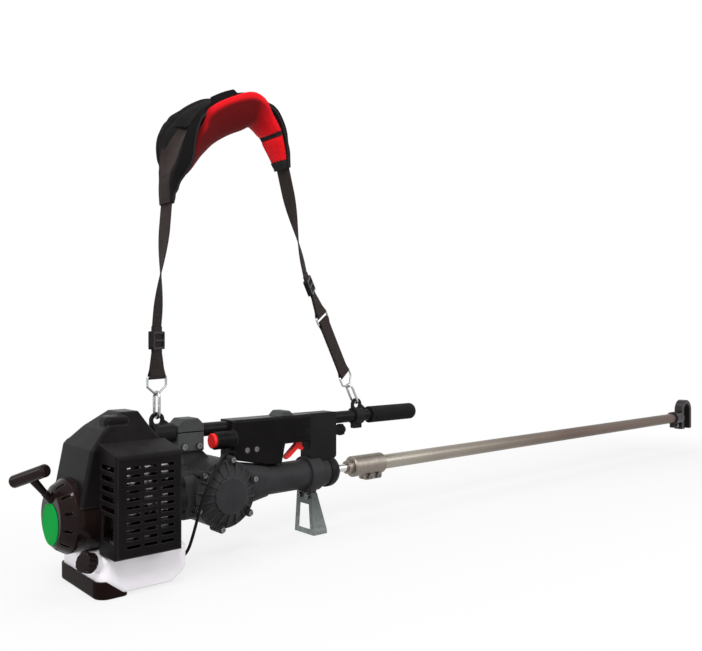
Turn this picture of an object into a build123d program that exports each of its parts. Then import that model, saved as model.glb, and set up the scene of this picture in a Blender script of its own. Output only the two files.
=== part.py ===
from build123d import *
import math
import os

# Petrol branch shaker for olives: engine, gear case, shaken pole with a branch hook, frame and shoulder strap.
# Millimetres. X runs along the pole to the hook, Y away from the muffler side, Z up, and the floor is Z = 0.

# Shared axes and clearances
AXIS_Z = 112.0            # height of the engine's crank axis and of the pole
ENGINE_Y = -40.0          # engine's centre plane; the pole runs at Y = 0
CRANK_X = 209.0           # cross axis of the gear that shakes the pole
CYLINDER_X = 30.0         # cylinder's centre
RUN_FIT = 0.05            # radial clearance of a shaft or slider in its bearing
SEAT_FIT = 0.02           # radial clearance of a piece in its fixed seat
FREE_GAP = 0.4            # gap beside a moving piece

# Engine
BORE_R = 21.0
THROW = 16.0              # half the piston's stroke
ROD_LENGTH = 54.0         # connecting rod, centre to centre
WEB_R = 26.0
WEB_T = 9.0
ROD_T = 10.0              # connecting rod's width between the webs
DECK_Z = 150.0            # top of the crankcase
CASE_HALF = 30.0          # half the crankcase's length
CASE_R = 36.0
FLANGE_R = 50.0
FLANGE_T = 6.0
CRANK_BEARING = (7.5, 17.5, 11.0)     # bore radius, outer radius, width
FIN_HALF = 36.0
FIN_T = 2.6
FIN_STEP = 8.0
FIN_COUNT = 7
HEAD_Z = 222.0            # top of the cylinder head
CROWN = 14.0              # piston crown above its pin
SKIRT = 10.0              # piston skirt below its pin
PIN_R = 5.0               # piston pin
CRANK_PIN_R = 6.0
PORT_HALF = 14.0          # half the width of the ports' bosses
EXHAUST_Y = -84.0
EXHAUST_Z = 186.0
INTAKE_Y = 0.0
INTAKE_Z = 180.0
PLUG_R = 7.0

# Fan, starter and flywheel
FAN_R = 55.0              # outside of the fan housing
FAN_WALL = 3.5
FAN_LENGTH = 45.0
FLYWHEEL_R = 45.0
FLYWHEEL_T = 20.0
BLADE_COUNT = 14
STARTER_DEPTH = 27.0      # starter cover, front to back
STARTER_FACE_R = 40.0
STARTER_WALL = 3.0
STARTER_SLOTS = 12
POST_R = 5.0              # starter pulley's post
PULLEY_R = 32.0
PULLEY_T = 9.0
ROPE_R = 1.8
ROPE_EXIT = (-75.0, ENGINE_Y, 143.0)
PULL_TILT = 38.0          # degrees that the rope leans back from upright
HANDLE_REACH = 43.0       # rope exit to the middle of the handle's bar
BAR_LENGTH = 68.0
BAR_R = 9.5
BAR_SWING = 32.0          # degrees that the bar is turned about the rope

# Covers, muffler, tank
GUARD_X = (-22.0, 80.0)
GUARD_Y = (-155.0, -95.0)
GUARD_Z = (63.0, 209.0)
GUARD_RISE = 12.0         # roof's rise from the outer face to the engine
COVER_WALL = 3.0
COVER_BASE = (130.0, -50.0, 82.0, GUARD_Y[1], 18.0)        # height, then X and Y limits
COVER_SHOULDER = (212.0, -34.0, 82.0, GUARD_Y[1], 18.0)
COVER_ROOF = (238.0, -8.0, 65.0, -80.0, 4.0)
COVER_TOP = (262.0, 24.0, 54.0, -62.0, -16.0)
COVER_ROUND = 5.0
BUMP = (-4.0, 34.0, -76.0, -42.0, 257.0)     # rounded bump beside the peak: X and Y limits, top
BUMP_ROUND = 8.0
GUARD_WALL = 2.5
GUARD_ROUND = 8.0
SLOT_ROWS = 11
SLOT_COLUMNS = 3
SLOT_H = 4.5
LOUVRE_COUNT = 5
LOUVRE_H = 8.0
VENT_Y = (-142.0, -106.0)   # open window in the guard's rear end: Y and Z limits
VENT_Z = (84.0, 122.0)
MUFFLER_GAP = 9.0         # between the muffler and the guard
MUFFLER_WALL = 1.5
TANK_X = (-30.0, 112.0)
TANK_Y = (-114.0, 34.0)
TANK_TOP = 60.0
TANK_WALL = 3.0
TANK_ROUND = 16.0
TANK_NOSE = 30.0          # sloped lower front edge
STAND_T = 6.0             # tank stand's floor
STAND_WALL = 3.5
STAND_LIP = 26.0          # height of the stand's rear lip
STAND_FRONT_X = 10.0
NECK_R = 10.0
NECK_AT = (-22.0, -101.0, 49.0)
NECK_AIM = (-0.9, -0.28, 0.334)
NECK_LENGTH = 24.0
CAP_R = 14.5
CAP_DEPTH = 17.0

# Carburettor side
CARB_X = (10.0, 58.0)
CARB_Y = (24.0, 46.0)
CARB_Z = (160.0, 196.0)
HORN_R = 15.0
LEVER_PIN_R = 2.5
LEVER_T = 3.0
FILTER_X = (-10.0, 68.0)
FILTER_Y = (52.0, 84.0)
FILTER_Z = (126.0, 212.0)
FILTER_WALL = 2.5
CHOKE_AT = (53.0, 186.0)  # X and Z of the choke lever's pivot
CHOKE_ARM = 26.0

# Clutch and bevel drive
DRUM_R = 40.0
DRUM_T = 3.0
DRUM_X = (68.0, 94.0)
SHOE_R = 36.0
BELL_R = 58.0             # clutch housing
BELL_WALL = 5.0
BELL_END = 104.0          # where the housing starts to narrow
BELL_NECK_R = 24.0
BELL_NECK_X = 120.0
CASE_INLET_X = 138.0      # joint between clutch housing and gear case
PINION_BEARING = (5.0, 13.0, 8.0)
PINION_TEETH = 13
GEAR_TEETH = 39
GEAR_PITCH_R = 42.0
TOOTH_FACE = 12.0
TOOTH_HALF = 1.30         # half a tooth's thickness on the pitch cone
TOOTH_ADD = 1.5
TOOTH_DED = 2.4
TOOTH_SLOPE = 0.36

# Gear case, yoke and slider
CRANK_THROW = 25.0        # half the pole's stroke
CRANK_DISC_R = 36.0
CRANK_DISC_T = 8.0
CRANK_FACE_Y = -11.0      # crank disc's face beside the yoke
DRIVE_PIN_R = 7.0
YOKE_SLACK = 2.0          # play of the pin in the yoke's slot, each side
YOKE_RIM = 6.5
YOKE_HALF_T = 8.0
GEAR_BEARING = (8.5, 20.0, 12.0)
GEARBOX_R = 57.0
GEARBOX_WALL = 5.0
GEARBOX_Y = (-60.0, 24.0)
COVER_PLATE_T = 8.0
COVER_FLANGE_T = 4.0
COVER_CONE_R = 50.0       # cover's cone at its flange
COVER_RISE = 19.0         # flange's face to the end disc
COVER_DISC_R = 31.0
COVER_DISC_T = 4.0
COVER_SCALLOPS = 16
COVER_RIBS = 18
COVER_BOLTS = 6
BARREL_R = 28.0
BARREL_X = (325.0, 470.0)
ROD_R = 8.0
BUSH_R = 13.0
BUSH_LENGTH = 25.0
NOSE_R = 31.0
NOSE_END = 498.0
PILLAR_X = (145.0, 193.0)

# Pole and hook
CONNECTOR_X = (529.0, 626.0)
CONNECTOR_R = 21.0
POLE_R = 15.0
POLE_WALL = 2.0
POLE_START = 566.0
POLE_END = 1952.0
COLLAR_R = 20.0
COLLAR_X = 1924.0
HOOK_X = 1966.0           # rear of the hook
HOOK_T = 12.0
HOOK_WIDTH = 26.0
HOOK_GAP = 44.0           # between the hook's legs
HOOK_CENTRE_Z = 134.0
HOOK_FOOT_Z = 74.0
HOOK_PAD_T = 6.0

# Frame and controls
TUBE_Z = 215.0
TUBE_R = 12.0
TUBE_WALL = 2.0
TUBE_X = (100.0, 712.0)
CLAMP_LENGTH = 48.0
FRONT_CLAMP_LENGTH = 36.0
CLAMP_HALF_Y = 18.0
FRONT_CLAMP_HALF_Y = 18.0
CLAMP_BASE_Z = 182.0
CLAMP_TOP_Z = 238.0
CLAMP_BEVEL = 11.0
FRONT_CLAMP_X = 350.0
EYELET_X = (115.0, 556.0)
EYELET_LENGTH = 20.0
EYELET_RING_R = 17.0
EYELET_T = 4.0
EYELET_Z = 238.0
EYELET_HOLE_R = 6.8
EYELET_R = 13.0
EYELET_TOE = 12.0         # how far the tab's foot runs on along the tube
REAR_COLLAR = 17.0        # how far the rear eyelet's collar runs on to the clamp
GRIP_X = (590.0, 719.0)
GRIP_R = 17.0
BRACKET_X = (426.0, 490.0)
BRACKET_HALF_Y = 16.0
HANDLE_X = (248.0, 424.0)
HANDLE_Z = (159.5, 229.0)
HANDLE_HALF_Y = 22.0
HANDLE_WALL = 3.0
HANDLE_FOOT_Z = 141.5     # handle's lower edge above the barrel
FINGER_X = 356.0          # rear of the finger gap
FINGER_Z = 177.0
HANDLE_SCREWS = ((279.0, 174.0), (299.0, 174.0))      # X and Z
SWITCH_Y = -23.0
SWITCH_Z = 197.0
SWITCH_R = 15.5
SWITCH_X = (210.0, 250.0)
BUTTON_R = 13.0
BUTTON_TRAVEL = 3.5
BUTTON_PROUD = 6.0
TRIGGER_AT = (408.0, 186.0)
TRIGGER_TIP = (378.0, 149.0)
TRIGGER_T = 10.0
TRIGGER_PIN_R = 3.0
DAMPER_R = 11.5
DAMPER_Z = 190.0
DAMPER_LENGTH = 28.0
DAMPER_NOTCHES = 9
CABLE_R = 2.5
CABLE_POINTS = [
    (256.0, -14.0, 171.0), (241.0, -30.0, 176.0), (218.0, -50.0, 179.0), (189.0, -74.0, 168.0),
    (172.0, -84.0, 152.0), (159.0, -86.0, 130.0), (147.0, -86.0, 101.0), (139.0, -82.0, 66.0),
    (133.0, -72.0, 31.0), (130.0, -50.0, 17.0), (128.0, -18.0, 15.0), (126.0, 13.0, 27.0),
    (121.0, 36.0, 53.0), (112.0, 48.0, 84.0), (102.0, 50.0, 116.0), (95.0, 47.0, 147.0),
    (90.0, 43.0, 174.0), (79.0, 39.0, 193.0), (62.0, 37.0, 203.0),
]

# Front stand
STAND_SHEET = 2.0
STAND_X = 418.0
STAND_Y = -6.0
STAND_FOOT_W = 60.0
STAND_TOP_W = 46.0
STAND_TOP_Z = 79.0
STAND_DEPTH = 32.0
STAND_RING_R = 34.0
STAND_RING_LENGTH = 26.0
STAND_BOLT_Z = 72.0
STAND_BOLT_STEP = 24.0

# Fasteners
M5_R = 2.5
M5_HEAD_R = 4.5
M5_HEAD = 4.0
M6_R = 3.0
M6_HEAD_R = 5.0
M6_HEAD = 5.0
M6_LENGTH = 13.0
M5_LENGTH = 20.0

# Harness
WIRE_R = 2.5
HOOK_LOW = 3.4            # snap hook's wire above the middle of the eyelet's hole
HOOK_BEND = 9.0           # snap hook's bend, to the wire's middle
HOOK_SPAN = 25.0          # between the snap hook's two bends
RING_WIRE_R = 2.0
RING_HALF = 23.5
RING_HEIGHT = 35.5
RING_SIDE = 16.0          # upright sides under the ring's bar
RING_APEX_BEND = 5.5
RING_CORNER_BEND = 2.6
WEB_WIDTH = 38.0
WEB_THICK = 2.4
RING_YAW = 24.0           # degrees that the rings are turned about the strap
SLIDE_YAW = 42.0          # the same for the slides
FRONT_LEAN = 27.0         # degrees that the front snap hook and the strap above it lean back
LINK_AT = 190.0           # lower bar of the front wire loop, from the front eyelet's hole
LINK_HEIGHT = 14.0
SLIDE_HALF = 25.0
SLIDE_H = 30.0
SLIDE_T = 9.0
TURN_END = 6.0            # straight strap below a slide
REAR_SLIDE = 132.0        # rear slide above the rear eyelet's hole
FRONT_SLIDE = 62.0        # front slide above the wire loop's upper bar
# Shoulder pad's line over the shoulder: X, Z, slope in degrees, width, thickness of the black pad, of the lining,
# and how far the edges curl outwards
PAD_LINE = [
    (135.0, 598.0, 90.0, 44.0, 6.0, 5.0, 1.0), (137.0, 634.0, 78.0, 48.0, 9.0, 10.0, 3.0),
    (152.0, 670.0, 67.0, 74.0, 14.0, 21.0, 12.0), (169.0, 708.0, 60.0, 84.0, 16.0, 27.0, 22.0),
    (195.0, 743.0, 45.0, 88.0, 16.0, 31.0, 27.0), (232.0, 771.0, 30.0, 88.0, 13.0, 33.0, 28.0),
    (274.0, 788.0, 10.0, 86.0, 11.0, 32.0, 25.0), (311.0, 785.0, -22.0, 82.0, 11.0, 24.0, 15.0),
    (340.0, 762.0, -50.0, 76.0, 10.0, 18.0, 7.0), (358.0, 728.0, -67.0, 64.0, 9.0, 12.0, 3.0),
    (370.0, 690.0, -73.0, 46.0, 6.0, 5.0, 1.0),
]
LINING_MARGIN = 3.0       # lining's edge inside the pad's edge
LINING_EDGE = 0.8         # lining's edge beside its middle
PAD_EDGE = 0.5            # edge's thickness beside the middle's


def block(x0, x1, y0, y1, z0, z1):
    return Pos((x0 + x1) / 2, (y0 + y1) / 2, (z0 + z1) / 2) * Box(x1 - x0, y1 - y0, z1 - z0)


def rod_x(radius, x0, x1, y, z):
    return Pos((x0 + x1) / 2, y, z) * Rot(0, 90, 0) * Cylinder(radius, x1 - x0)


def rod_y(radius, y0, y1, x, z):
    return Pos(x, (y0 + y1) / 2, z) * Rot(90, 0, 0) * Cylinder(radius, y1 - y0)


def rod_z(radius, z0, z1, x, y):
    return Pos(x, y, (z0 + z1) / 2) * Cylinder(radius, z1 - z0)


def rod_along(radius, start, aim, near, far):
    """Cylinder along a direction, from one distance to another past the start point."""
    plane = Plane(origin=start, z_dir=aim)
    return plane.location * Pos(0, 0, (near + far) / 2) * Cylinder(radius, far - near)


def turned_x(outline, y, z):
    """Solid of revolution about an axis along X, from points of X and radius."""
    face = make_face(Polyline(*[(x, 0, r) for x, r in outline], close=True))
    return Pos(0, y, z) * revolve(face, Axis.X)


def turned_y(outline, x, z):
    """Solid of revolution about an axis along Y, from points of Y and radius."""
    face = make_face(Polyline(*[(r, y, 0) for y, r in outline], close=True))
    return Pos(x, 0, z) * revolve(face, Axis.Y)


def plate_y(outline, y0, y1):
    """Flat plate with an outline in X and Z, between two Y values."""
    face = make_face(Polyline(*[(x, y0, z) for x, z in outline], close=True))
    return extrude(face, amount=y1 - y0, dir=(0, 1, 0))


def plate_x(outline, x0, x1):
    """Flat plate with an outline in Y and Z, between two X values."""
    face = make_face(Polyline(*[(x0, y, z) for y, z in outline], close=True))
    return extrude(face, amount=x1 - x0, dir=(1, 0, 0))


def bearing_outline(start, sizes):
    """Section of a ball bearing with its sunk shields, as points of distance along the axis and radius."""
    bore, outer, width = sizes
    sunk = width * 0.08
    low = bore + (outer - bore) * 0.3
    high = bore + (outer - bore) * 0.7
    end = start + width
    return [
        (start, bore), (start, low), (start + sunk, low), (start + sunk, high), (start, high), (start, outer),
        (end, outer), (end, high), (end - sunk, high), (end - sunk, low), (end, low), (end, bore),
    ]


def socket_screw(radius, head_r, head, length):
    """Socket screw with its head's underside at Z = 0 and its shank downwards."""
    shank = Pos(0, 0, -length / 2) * Cylinder(radius, length)
    top = Pos(0, 0, head / 2) * Cylinder(head_r, head)
    socket = Pos(0, 0, head * 0.75) * extrude(RegularPolygon(head_r * 0.5, 6), amount=head)
    return shank + top - socket


def screw_at(place, aim, radius, head_r, head, length):
    return Plane(origin=place, z_dir=aim).location * socket_screw(radius, head_r, head, length)


def group(solids):
    return Compound(children=list(solids))


# Engine inside

CASE_X = (CYLINDER_X - CASE_HALF, CYLINDER_X + CASE_HALF)
WEB_GAP = ROD_T / 2 + FREE_GAP
CHAMBER_HALF = WEB_GAP + WEB_T + 1.0
CRANK_PIN_Z = AXIS_Z - THROW       # the piston is drawn at the bottom of its stroke
WRIST_Z = CRANK_PIN_Z + ROD_LENGTH
CROWN_Z = WRIST_Z + CROWN
TOP_CROWN_Z = CROWN_Z + 2 * THROW


def crankcase():
    body = rod_x(CASE_R, *CASE_X, ENGINE_Y, AXIS_Z)
    body += rod_x(FLANGE_R, CASE_X[1] - FLANGE_T, CASE_X[1], ENGINE_Y, AXIS_Z)
    body += rod_x(FLANGE_R - 8, CASE_X[0], CASE_X[0] + FLANGE_T, ENGINE_Y, AXIS_Z)
    reach = FLANGE_R + 1
    body -= block(*CASE_X, ENGINE_Y - reach, ENGINE_Y + reach, DECK_Z, DECK_Z + reach)
    deck = CASE_HALF
    body += block(CYLINDER_X - deck, CYLINDER_X + deck, ENGINE_Y - deck, ENGINE_Y + deck, AXIS_Z, DECK_Z)
    foot = CASE_HALF * 0.75
    body += block(CYLINDER_X - foot, CYLINDER_X + foot, ENGINE_Y - foot, ENGINE_Y + foot, TANK_TOP, AXIS_Z)
    body -= rod_x(WEB_R + 2, CYLINDER_X - CHAMBER_HALF, CYLINDER_X + CHAMBER_HALF, ENGINE_Y, AXIS_Z)
    seat = CHAMBER_HALF + CRANK_BEARING[2]
    body -= rod_x(CRANK_BEARING[1] + SEAT_FIT, CYLINDER_X - seat, CYLINDER_X + seat, ENGINE_Y, AXIS_Z)
    body -= rod_x(CRANK_BEARING[0] + 2, *CASE_X, ENGINE_Y, AXIS_Z)
    return body - rod_z(BORE_R + 1.5, AXIS_Z, DECK_Z, CYLINDER_X, ENGINE_Y)


def cylinder():
    chamber_z = TOP_CROWN_Z + 3
    body = rod_z(BORE_R + 6, DECK_Z, HEAD_Z, CYLINDER_X, ENGINE_Y)
    foot = CASE_HALF
    body += block(CYLINDER_X - foot, CYLINDER_X + foot, ENGINE_Y - foot, ENGINE_Y + foot, DECK_Z, DECK_Z + 5)
    for row in range(FIN_COUNT):
        z = HEAD_Z - FIN_T - row * FIN_STEP
        fin = extrude(RectangleRounded(2 * FIN_HALF, 2 * FIN_HALF, FIN_HALF / 3), amount=FIN_T)
        body += Pos(CYLINDER_X, ENGINE_Y, z) * fin
    half = PORT_HALF
    body += block(CYLINDER_X - half, CYLINDER_X + half, EXHAUST_Y, ENGINE_Y - BORE_R - 1,
                  EXHAUST_Z - half, EXHAUST_Z + half)
    body += block(CYLINDER_X - half, CYLINDER_X + half, ENGINE_Y + BORE_R + 1, INTAKE_Y,
                  INTAKE_Z - half, INTAKE_Z + half)
    body -= rod_z(BORE_R, DECK_Z, chamber_z, CYLINDER_X, ENGINE_Y)
    body -= rod_y(half * 0.6, EXHAUST_Y, ENGINE_Y, CYLINDER_X, EXHAUST_Z)
    body -= rod_y(half * 0.6, ENGINE_Y, INTAKE_Y, CYLINDER_X, INTAKE_Z)
    return body - rod_z(PLUG_R, chamber_z, HEAD_Z, CYLINDER_X, ENGINE_Y)


def spark_plug():
    plug = rod_z(PLUG_R - SEAT_FIT, TOP_CROWN_Z + 5, HEAD_Z, CYLINDER_X, ENGINE_Y)
    nut = extrude(RegularPolygon(PLUG_R * 1.5, 6), amount=8)
    plug += Pos(CYLINDER_X, ENGINE_Y, HEAD_Z) * nut
    plug += rod_z(PLUG_R * 0.7, HEAD_Z + 8, HEAD_Z + 20, CYLINDER_X, ENGINE_Y)
    return plug + rod_z(PLUG_R * 0.4, HEAD_Z + 20, HEAD_Z + 24, CYLINDER_X, ENGINE_Y)


def plug_cap():
    low = HEAD_Z + 10
    cap = rod_z(PLUG_R + 2, low, HEAD_Z + 30, CYLINDER_X, ENGINE_Y)
    cap += rod_x(PLUG_R * 0.7, CYLINDER_X - 16, CYLINDER_X, ENGINE_Y, HEAD_Z + 22)
    cap = fillet(cap.edges().filter_by(GeomType.CIRCLE).sort_by(Axis.Z)[-1], PLUG_R * 0.5)
    return cap - rod_z(PLUG_R * 0.7 + SEAT_FIT, low, HEAD_Z + 24, CYLINDER_X, ENGINE_Y)


def crankshaft():
    shaft_r = CRANK_BEARING[0] - RUN_FIT
    rear = rod_x(shaft_r, -FAN_LENGTH - 4, CYLINDER_X - WEB_GAP, ENGINE_Y, AXIS_Z)
    rear += rod_x(WEB_R, CYLINDER_X - WEB_GAP - WEB_T, CYLINDER_X - WEB_GAP, ENGINE_Y, AXIS_Z)
    front = rod_x(shaft_r, CYLINDER_X + WEB_GAP, DRUM_X[0] + 16, ENGINE_Y, AXIS_Z)
    front += rod_x(WEB_R, CYLINDER_X + WEB_GAP, CYLINDER_X + WEB_GAP + WEB_T, ENGINE_Y, AXIS_Z)
    front += rod_x(SHOE_R * 0.8, DRUM_X[0] - 3, DRUM_X[0], ENGINE_Y, AXIS_Z)
    return group([rear, front])


def clutch_shoes():
    """Two half-round shoes on the carrier, apart by the slot that their springs span."""
    disc = rod_x(SHOE_R, DRUM_X[0], DRUM_X[0] + 14, ENGINE_Y, AXIS_Z)
    disc -= rod_x(CRANK_BEARING[0] + 4, DRUM_X[0], DRUM_X[0] + 14, ENGINE_Y, AXIS_Z)
    slot = SHOE_R * 0.12
    reach = SHOE_R + 1
    disc -= block(DRUM_X[0], DRUM_X[0] + 14, ENGINE_Y - reach, ENGINE_Y + reach, AXIS_Z - slot, AXIS_Z + slot)
    return group(disc.solids())


def flywheel():
    rear = -FAN_LENGTH + 6
    wheel = rod_x(FLYWHEEL_R, rear, rear + FLYWHEEL_T, ENGINE_Y, AXIS_Z)
    wheel -= rod_x(FLYWHEEL_R * 0.75, rear + FLYWHEEL_T * 0.5, rear + FLYWHEEL_T, ENGINE_Y, AXIS_Z)
    wheel += rod_x(CRANK_BEARING[0] * 2, rear, rear + FLYWHEEL_T + 4, ENGINE_Y, AXIS_Z)
    blade = block(rear - 5, rear, -1.2, 1.2, FLYWHEEL_R * 0.55, FLYWHEEL_R - 1)
    for index in range(BLADE_COUNT):
        wheel += Pos(0, ENGINE_Y, AXIS_Z) * Rot(360 / BLADE_COUNT * index, 0, 0) * blade
    return wheel - rod_x(CRANK_BEARING[0], rear, rear + FLYWHEEL_T + 4, ENGINE_Y, AXIS_Z)


def piston():
    body = rod_z(BORE_R - RUN_FIT, WRIST_Z - SKIRT, CROWN_Z, CYLINDER_X, ENGINE_Y)
    body -= rod_z(BORE_R - 4, WRIST_Z - SKIRT, CROWN_Z - 5, CYLINDER_X, ENGINE_Y)
    ring = rod_z(BORE_R, CROWN_Z - 4, CROWN_Z - 2.5, CYLINDER_X, ENGINE_Y)
    body -= ring - rod_z(BORE_R - 1.5, CROWN_Z - 4, CROWN_Z - 2.5, CYLINDER_X, ENGINE_Y)
    reach = BORE_R - 3
    return body + rod_x(PIN_R, CYLINDER_X - reach, CYLINDER_X + reach, ENGINE_Y, WRIST_Z)


def connecting_rod():
    """Connecting rod with the crank pin in its big end; the pin stops short of the webs."""
    half = ROD_T / 2
    x0, x1 = CYLINDER_X - half, CYLINDER_X + half
    rod = block(x0 + 2, x1 - 2, ENGINE_Y - 4, ENGINE_Y + 4, CRANK_PIN_Z, WRIST_Z)
    rod += rod_x(CRANK_PIN_R + 3, x0, x1, ENGINE_Y, CRANK_PIN_Z)
    rod += rod_x(PIN_R + 3, x0, x1, ENGINE_Y, WRIST_Z)
    return rod - rod_x(PIN_R + RUN_FIT, x0, x1, ENGINE_Y, WRIST_Z)


# Fan and starter

STARTER_FRONT = -FAN_LENGTH - STARTER_DEPTH
PULL = (-math.sin(math.radians(PULL_TILT)), 0.0, math.cos(math.radians(PULL_TILT)))


def fan_housing():
    inside = FAN_R - FAN_WALL
    outline = [
        (-FAN_LENGTH, FAN_R), (CASE_X[0], FAN_R), (CASE_X[0], CRANK_BEARING[0] * 2.6),
        (CASE_X[0] - FAN_WALL, CRANK_BEARING[0] * 2.6), (CASE_X[0] - FAN_WALL, inside), (-FAN_LENGTH, inside),
    ]
    return turned_x(outline, ENGINE_Y, AXIS_Z)


def starter_cover():
    wall = STARTER_WALL
    knee = -FAN_LENGTH - STARTER_DEPTH * 0.3
    outline = [
        (-FAN_LENGTH, FAN_R), (knee, FAN_R), (STARTER_FRONT + 6, STARTER_FACE_R + 7),
        (STARTER_FRONT, STARTER_FACE_R), (STARTER_FRONT, 0), (STARTER_FRONT + wall, 0),
        (STARTER_FRONT + wall, STARTER_FACE_R - 2), (STARTER_FRONT + 6 + wall, STARTER_FACE_R + 4),
        (knee, FAN_R - wall - 1), (-FAN_LENGTH, FAN_R - wall),
    ]
    cover = turned_x(outline, ENGINE_Y, AXIS_Z)
    cover += rod_x(POST_R, STARTER_FRONT + wall, STARTER_FRONT + wall + PULLEY_T + 4, ENGINE_Y, AXIS_Z)
    slot = block(STARTER_FRONT + 1, knee, -2.2, 2.2, STARTER_FACE_R + 3, FAN_R - 3)
    for index in range(STARTER_SLOTS):
        turn = 360 / STARTER_SLOTS * (index + 0.5)
        cover -= Pos(0, ENGINE_Y, AXIS_Z) * Rot(turn, 0, 0) * slot
    inside = block(STARTER_FRONT + wall, 0, ENGINE_Y - FAN_R, ENGINE_Y + FAN_R, AXIS_Z, AXIS_Z + FAN_R)
    cover += rod_along(ROPE_R + 3.5, ROPE_EXIT, PULL, -12, 9) - inside
    return cover - rod_along(ROPE_R + 1.2, ROPE_EXIT, PULL, -16, 9)


def starter_pulley():
    rear = STARTER_FRONT + STARTER_WALL + 3
    mid = rear + PULLEY_T / 2
    outline = [
        (rear, POST_R + RUN_FIT), (rear, PULLEY_R), (mid - 1, PULLEY_R - 4), (mid + 1, PULLEY_R - 4),
        (rear + PULLEY_T, PULLEY_R), (rear + PULLEY_T, POST_R + RUN_FIT),
    ]
    pulley = turned_x(outline, ENGINE_Y, AXIS_Z)
    hole = rod_x(PULLEY_R * 0.2, rear, rear + PULLEY_T, 0, PULLEY_R * 0.5)
    for index in range(6):
        pulley -= Pos(0, ENGINE_Y, AXIS_Z) * Rot(60 * index, 0, 0) * hole
    return pulley


def starter_rope():
    return rod_along(ROPE_R, ROPE_EXIT, PULL, -8, HANDLE_REACH - BAR_R)


def starter_handle():
    """T handle: a tapered neck over the rope and a rounded bar across it."""
    frame = Plane(origin=ROPE_EXIT, x_dir=(0, -1, 0), z_dir=PULL).location * Rot(0, 0, BAR_SWING)
    neck = Pos(0, 0, (10 + HANDLE_REACH) / 2) * Cone(ROPE_R + 3, ROPE_R + 4.5, HANDLE_REACH - 10)
    bar = Rot(0, 90, 0) * Cylinder(BAR_R, BAR_LENGTH)
    bar = fillet(bar.edges(), BAR_R * 0.45)
    handle = frame * (neck + Pos(0, 0, HANDLE_REACH) * bar)
    return handle - rod_along(ROPE_R + 0.3, ROPE_EXIT, PULL, 0, HANDLE_REACH - BAR_R)


# Covers, muffler and tank

def hood(inset):
    """Ruled hood through four upright levels, drawn in by the inset."""
    faces = []
    for level, (z, x0, x1, y0, y1) in enumerate([COVER_BASE, COVER_SHOULDER, COVER_ROOF, COVER_TOP]):
        lower = inset if level == 3 else 0
        flat = Rectangle(x1 - x0 - 2 * inset, y1 - y0 - 2 * inset)
        faces.append(Pos((x0 + x1) / 2, (y0 + y1) / 2, z - lower) * flat)
    return loft(faces, ruled=True)


def engine_cover():
    outer = hood(0)
    base = COVER_BASE[0]
    outer = fillet(outer.edges().filter_by(lambda e: e.center().Z > base + 1), COVER_ROUND)
    x0, x1, y0, y1, top = BUMP
    bump = block(x0, x1, y0, y1, COVER_SHOULDER[0], top)
    outer += fillet(bump.edges(), BUMP_ROUND)
    cover = outer - hood(COVER_WALL)
    cover -= rod_x(FAN_R + SEAT_FIT, COVER_BASE[1] - 30, 0, ENGINE_Y, AXIS_Z)
    cover -= rod_x(BELL_R + SEAT_FIT, CASE_X[1], COVER_BASE[2] + 5, ENGINE_Y, AXIS_Z)
    muffler_z = EXHAUST_Z + PORT_HALF + 8
    cover -= block(GUARD_X[0] + 8, GUARD_X[1] - 8, COVER_BASE[3] - 1, COVER_BASE[3] + COVER_WALL + 1,
                   base, muffler_z)
    cover -= block(CARB_X[0] - 4, CARB_X[1] + 4, COVER_BASE[4] - COVER_WALL - 1, COVER_BASE[4] + 1,
                   base, CARB_Z[1] + 8)
    return cover


def guard_outline(inset):
    y0, y1 = GUARD_Y
    z0, z1 = GUARD_Z
    rise = GUARD_RISE * (y1 - y0 - inset) / (y1 - y0)
    return [(y0 + inset, z0 + inset), (y0 + inset, z1 - inset), (y1, z1 + rise - inset), (y1, z0 + inset)]


def muffler_guard():
    """Box open to the engine, with rows of slots in its face, and louvres and a window in its rear end."""
    x0, x1 = GUARD_X
    outer = plate_x(guard_outline(0), x0, x1)
    outer = fillet(outer.faces().sort_by(Axis.Y)[0].edges(), GUARD_ROUND)
    guard = outer - plate_x(guard_outline(GUARD_WALL), x0 + GUARD_WALL, x1 - GUARD_WALL)
    margin = GUARD_ROUND + 4
    pitch_x = (x1 - x0 - 2 * margin) / SLOT_COLUMNS
    pitch_z = (GUARD_Z[1] - GUARD_Z[0] - 2 * margin) / SLOT_ROWS
    slots = []
    for column in range(SLOT_COLUMNS):
        for row in range(SLOT_ROWS):
            x = x0 + margin + pitch_x * (column + 0.5)
            z = GUARD_Z[0] + margin + pitch_z * (row + 0.5)
            slots.append(block(x - pitch_x * 0.4, x + pitch_x * 0.4, GUARD_Y[0] - 1, GUARD_Y[0] + GUARD_WALL + 1,
                               z - SLOT_H / 2, z + SLOT_H / 2))
    pitch = (GUARD_Z[1] - GUARD_Z[0]) * 0.5 / LOUVRE_COUNT
    for row in range(LOUVRE_COUNT):
        z = GUARD_Z[1] - margin - pitch * (row + 0.5)
        slots.append(block(x0 - 1, x0 + GUARD_WALL + 1, GUARD_Y[0] + GUARD_ROUND + 1, GUARD_Y[1] - 5,
                           z - LOUVRE_H / 2, z + LOUVRE_H / 2))
    slots.append(block(x0 - 1, x0 + GUARD_WALL + 1, *VENT_Y, *VENT_Z))
    guard -= rod_x(BELL_R + 1.5, *GUARD_X, ENGINE_Y, AXIS_Z)
    return guard - slots


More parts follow.
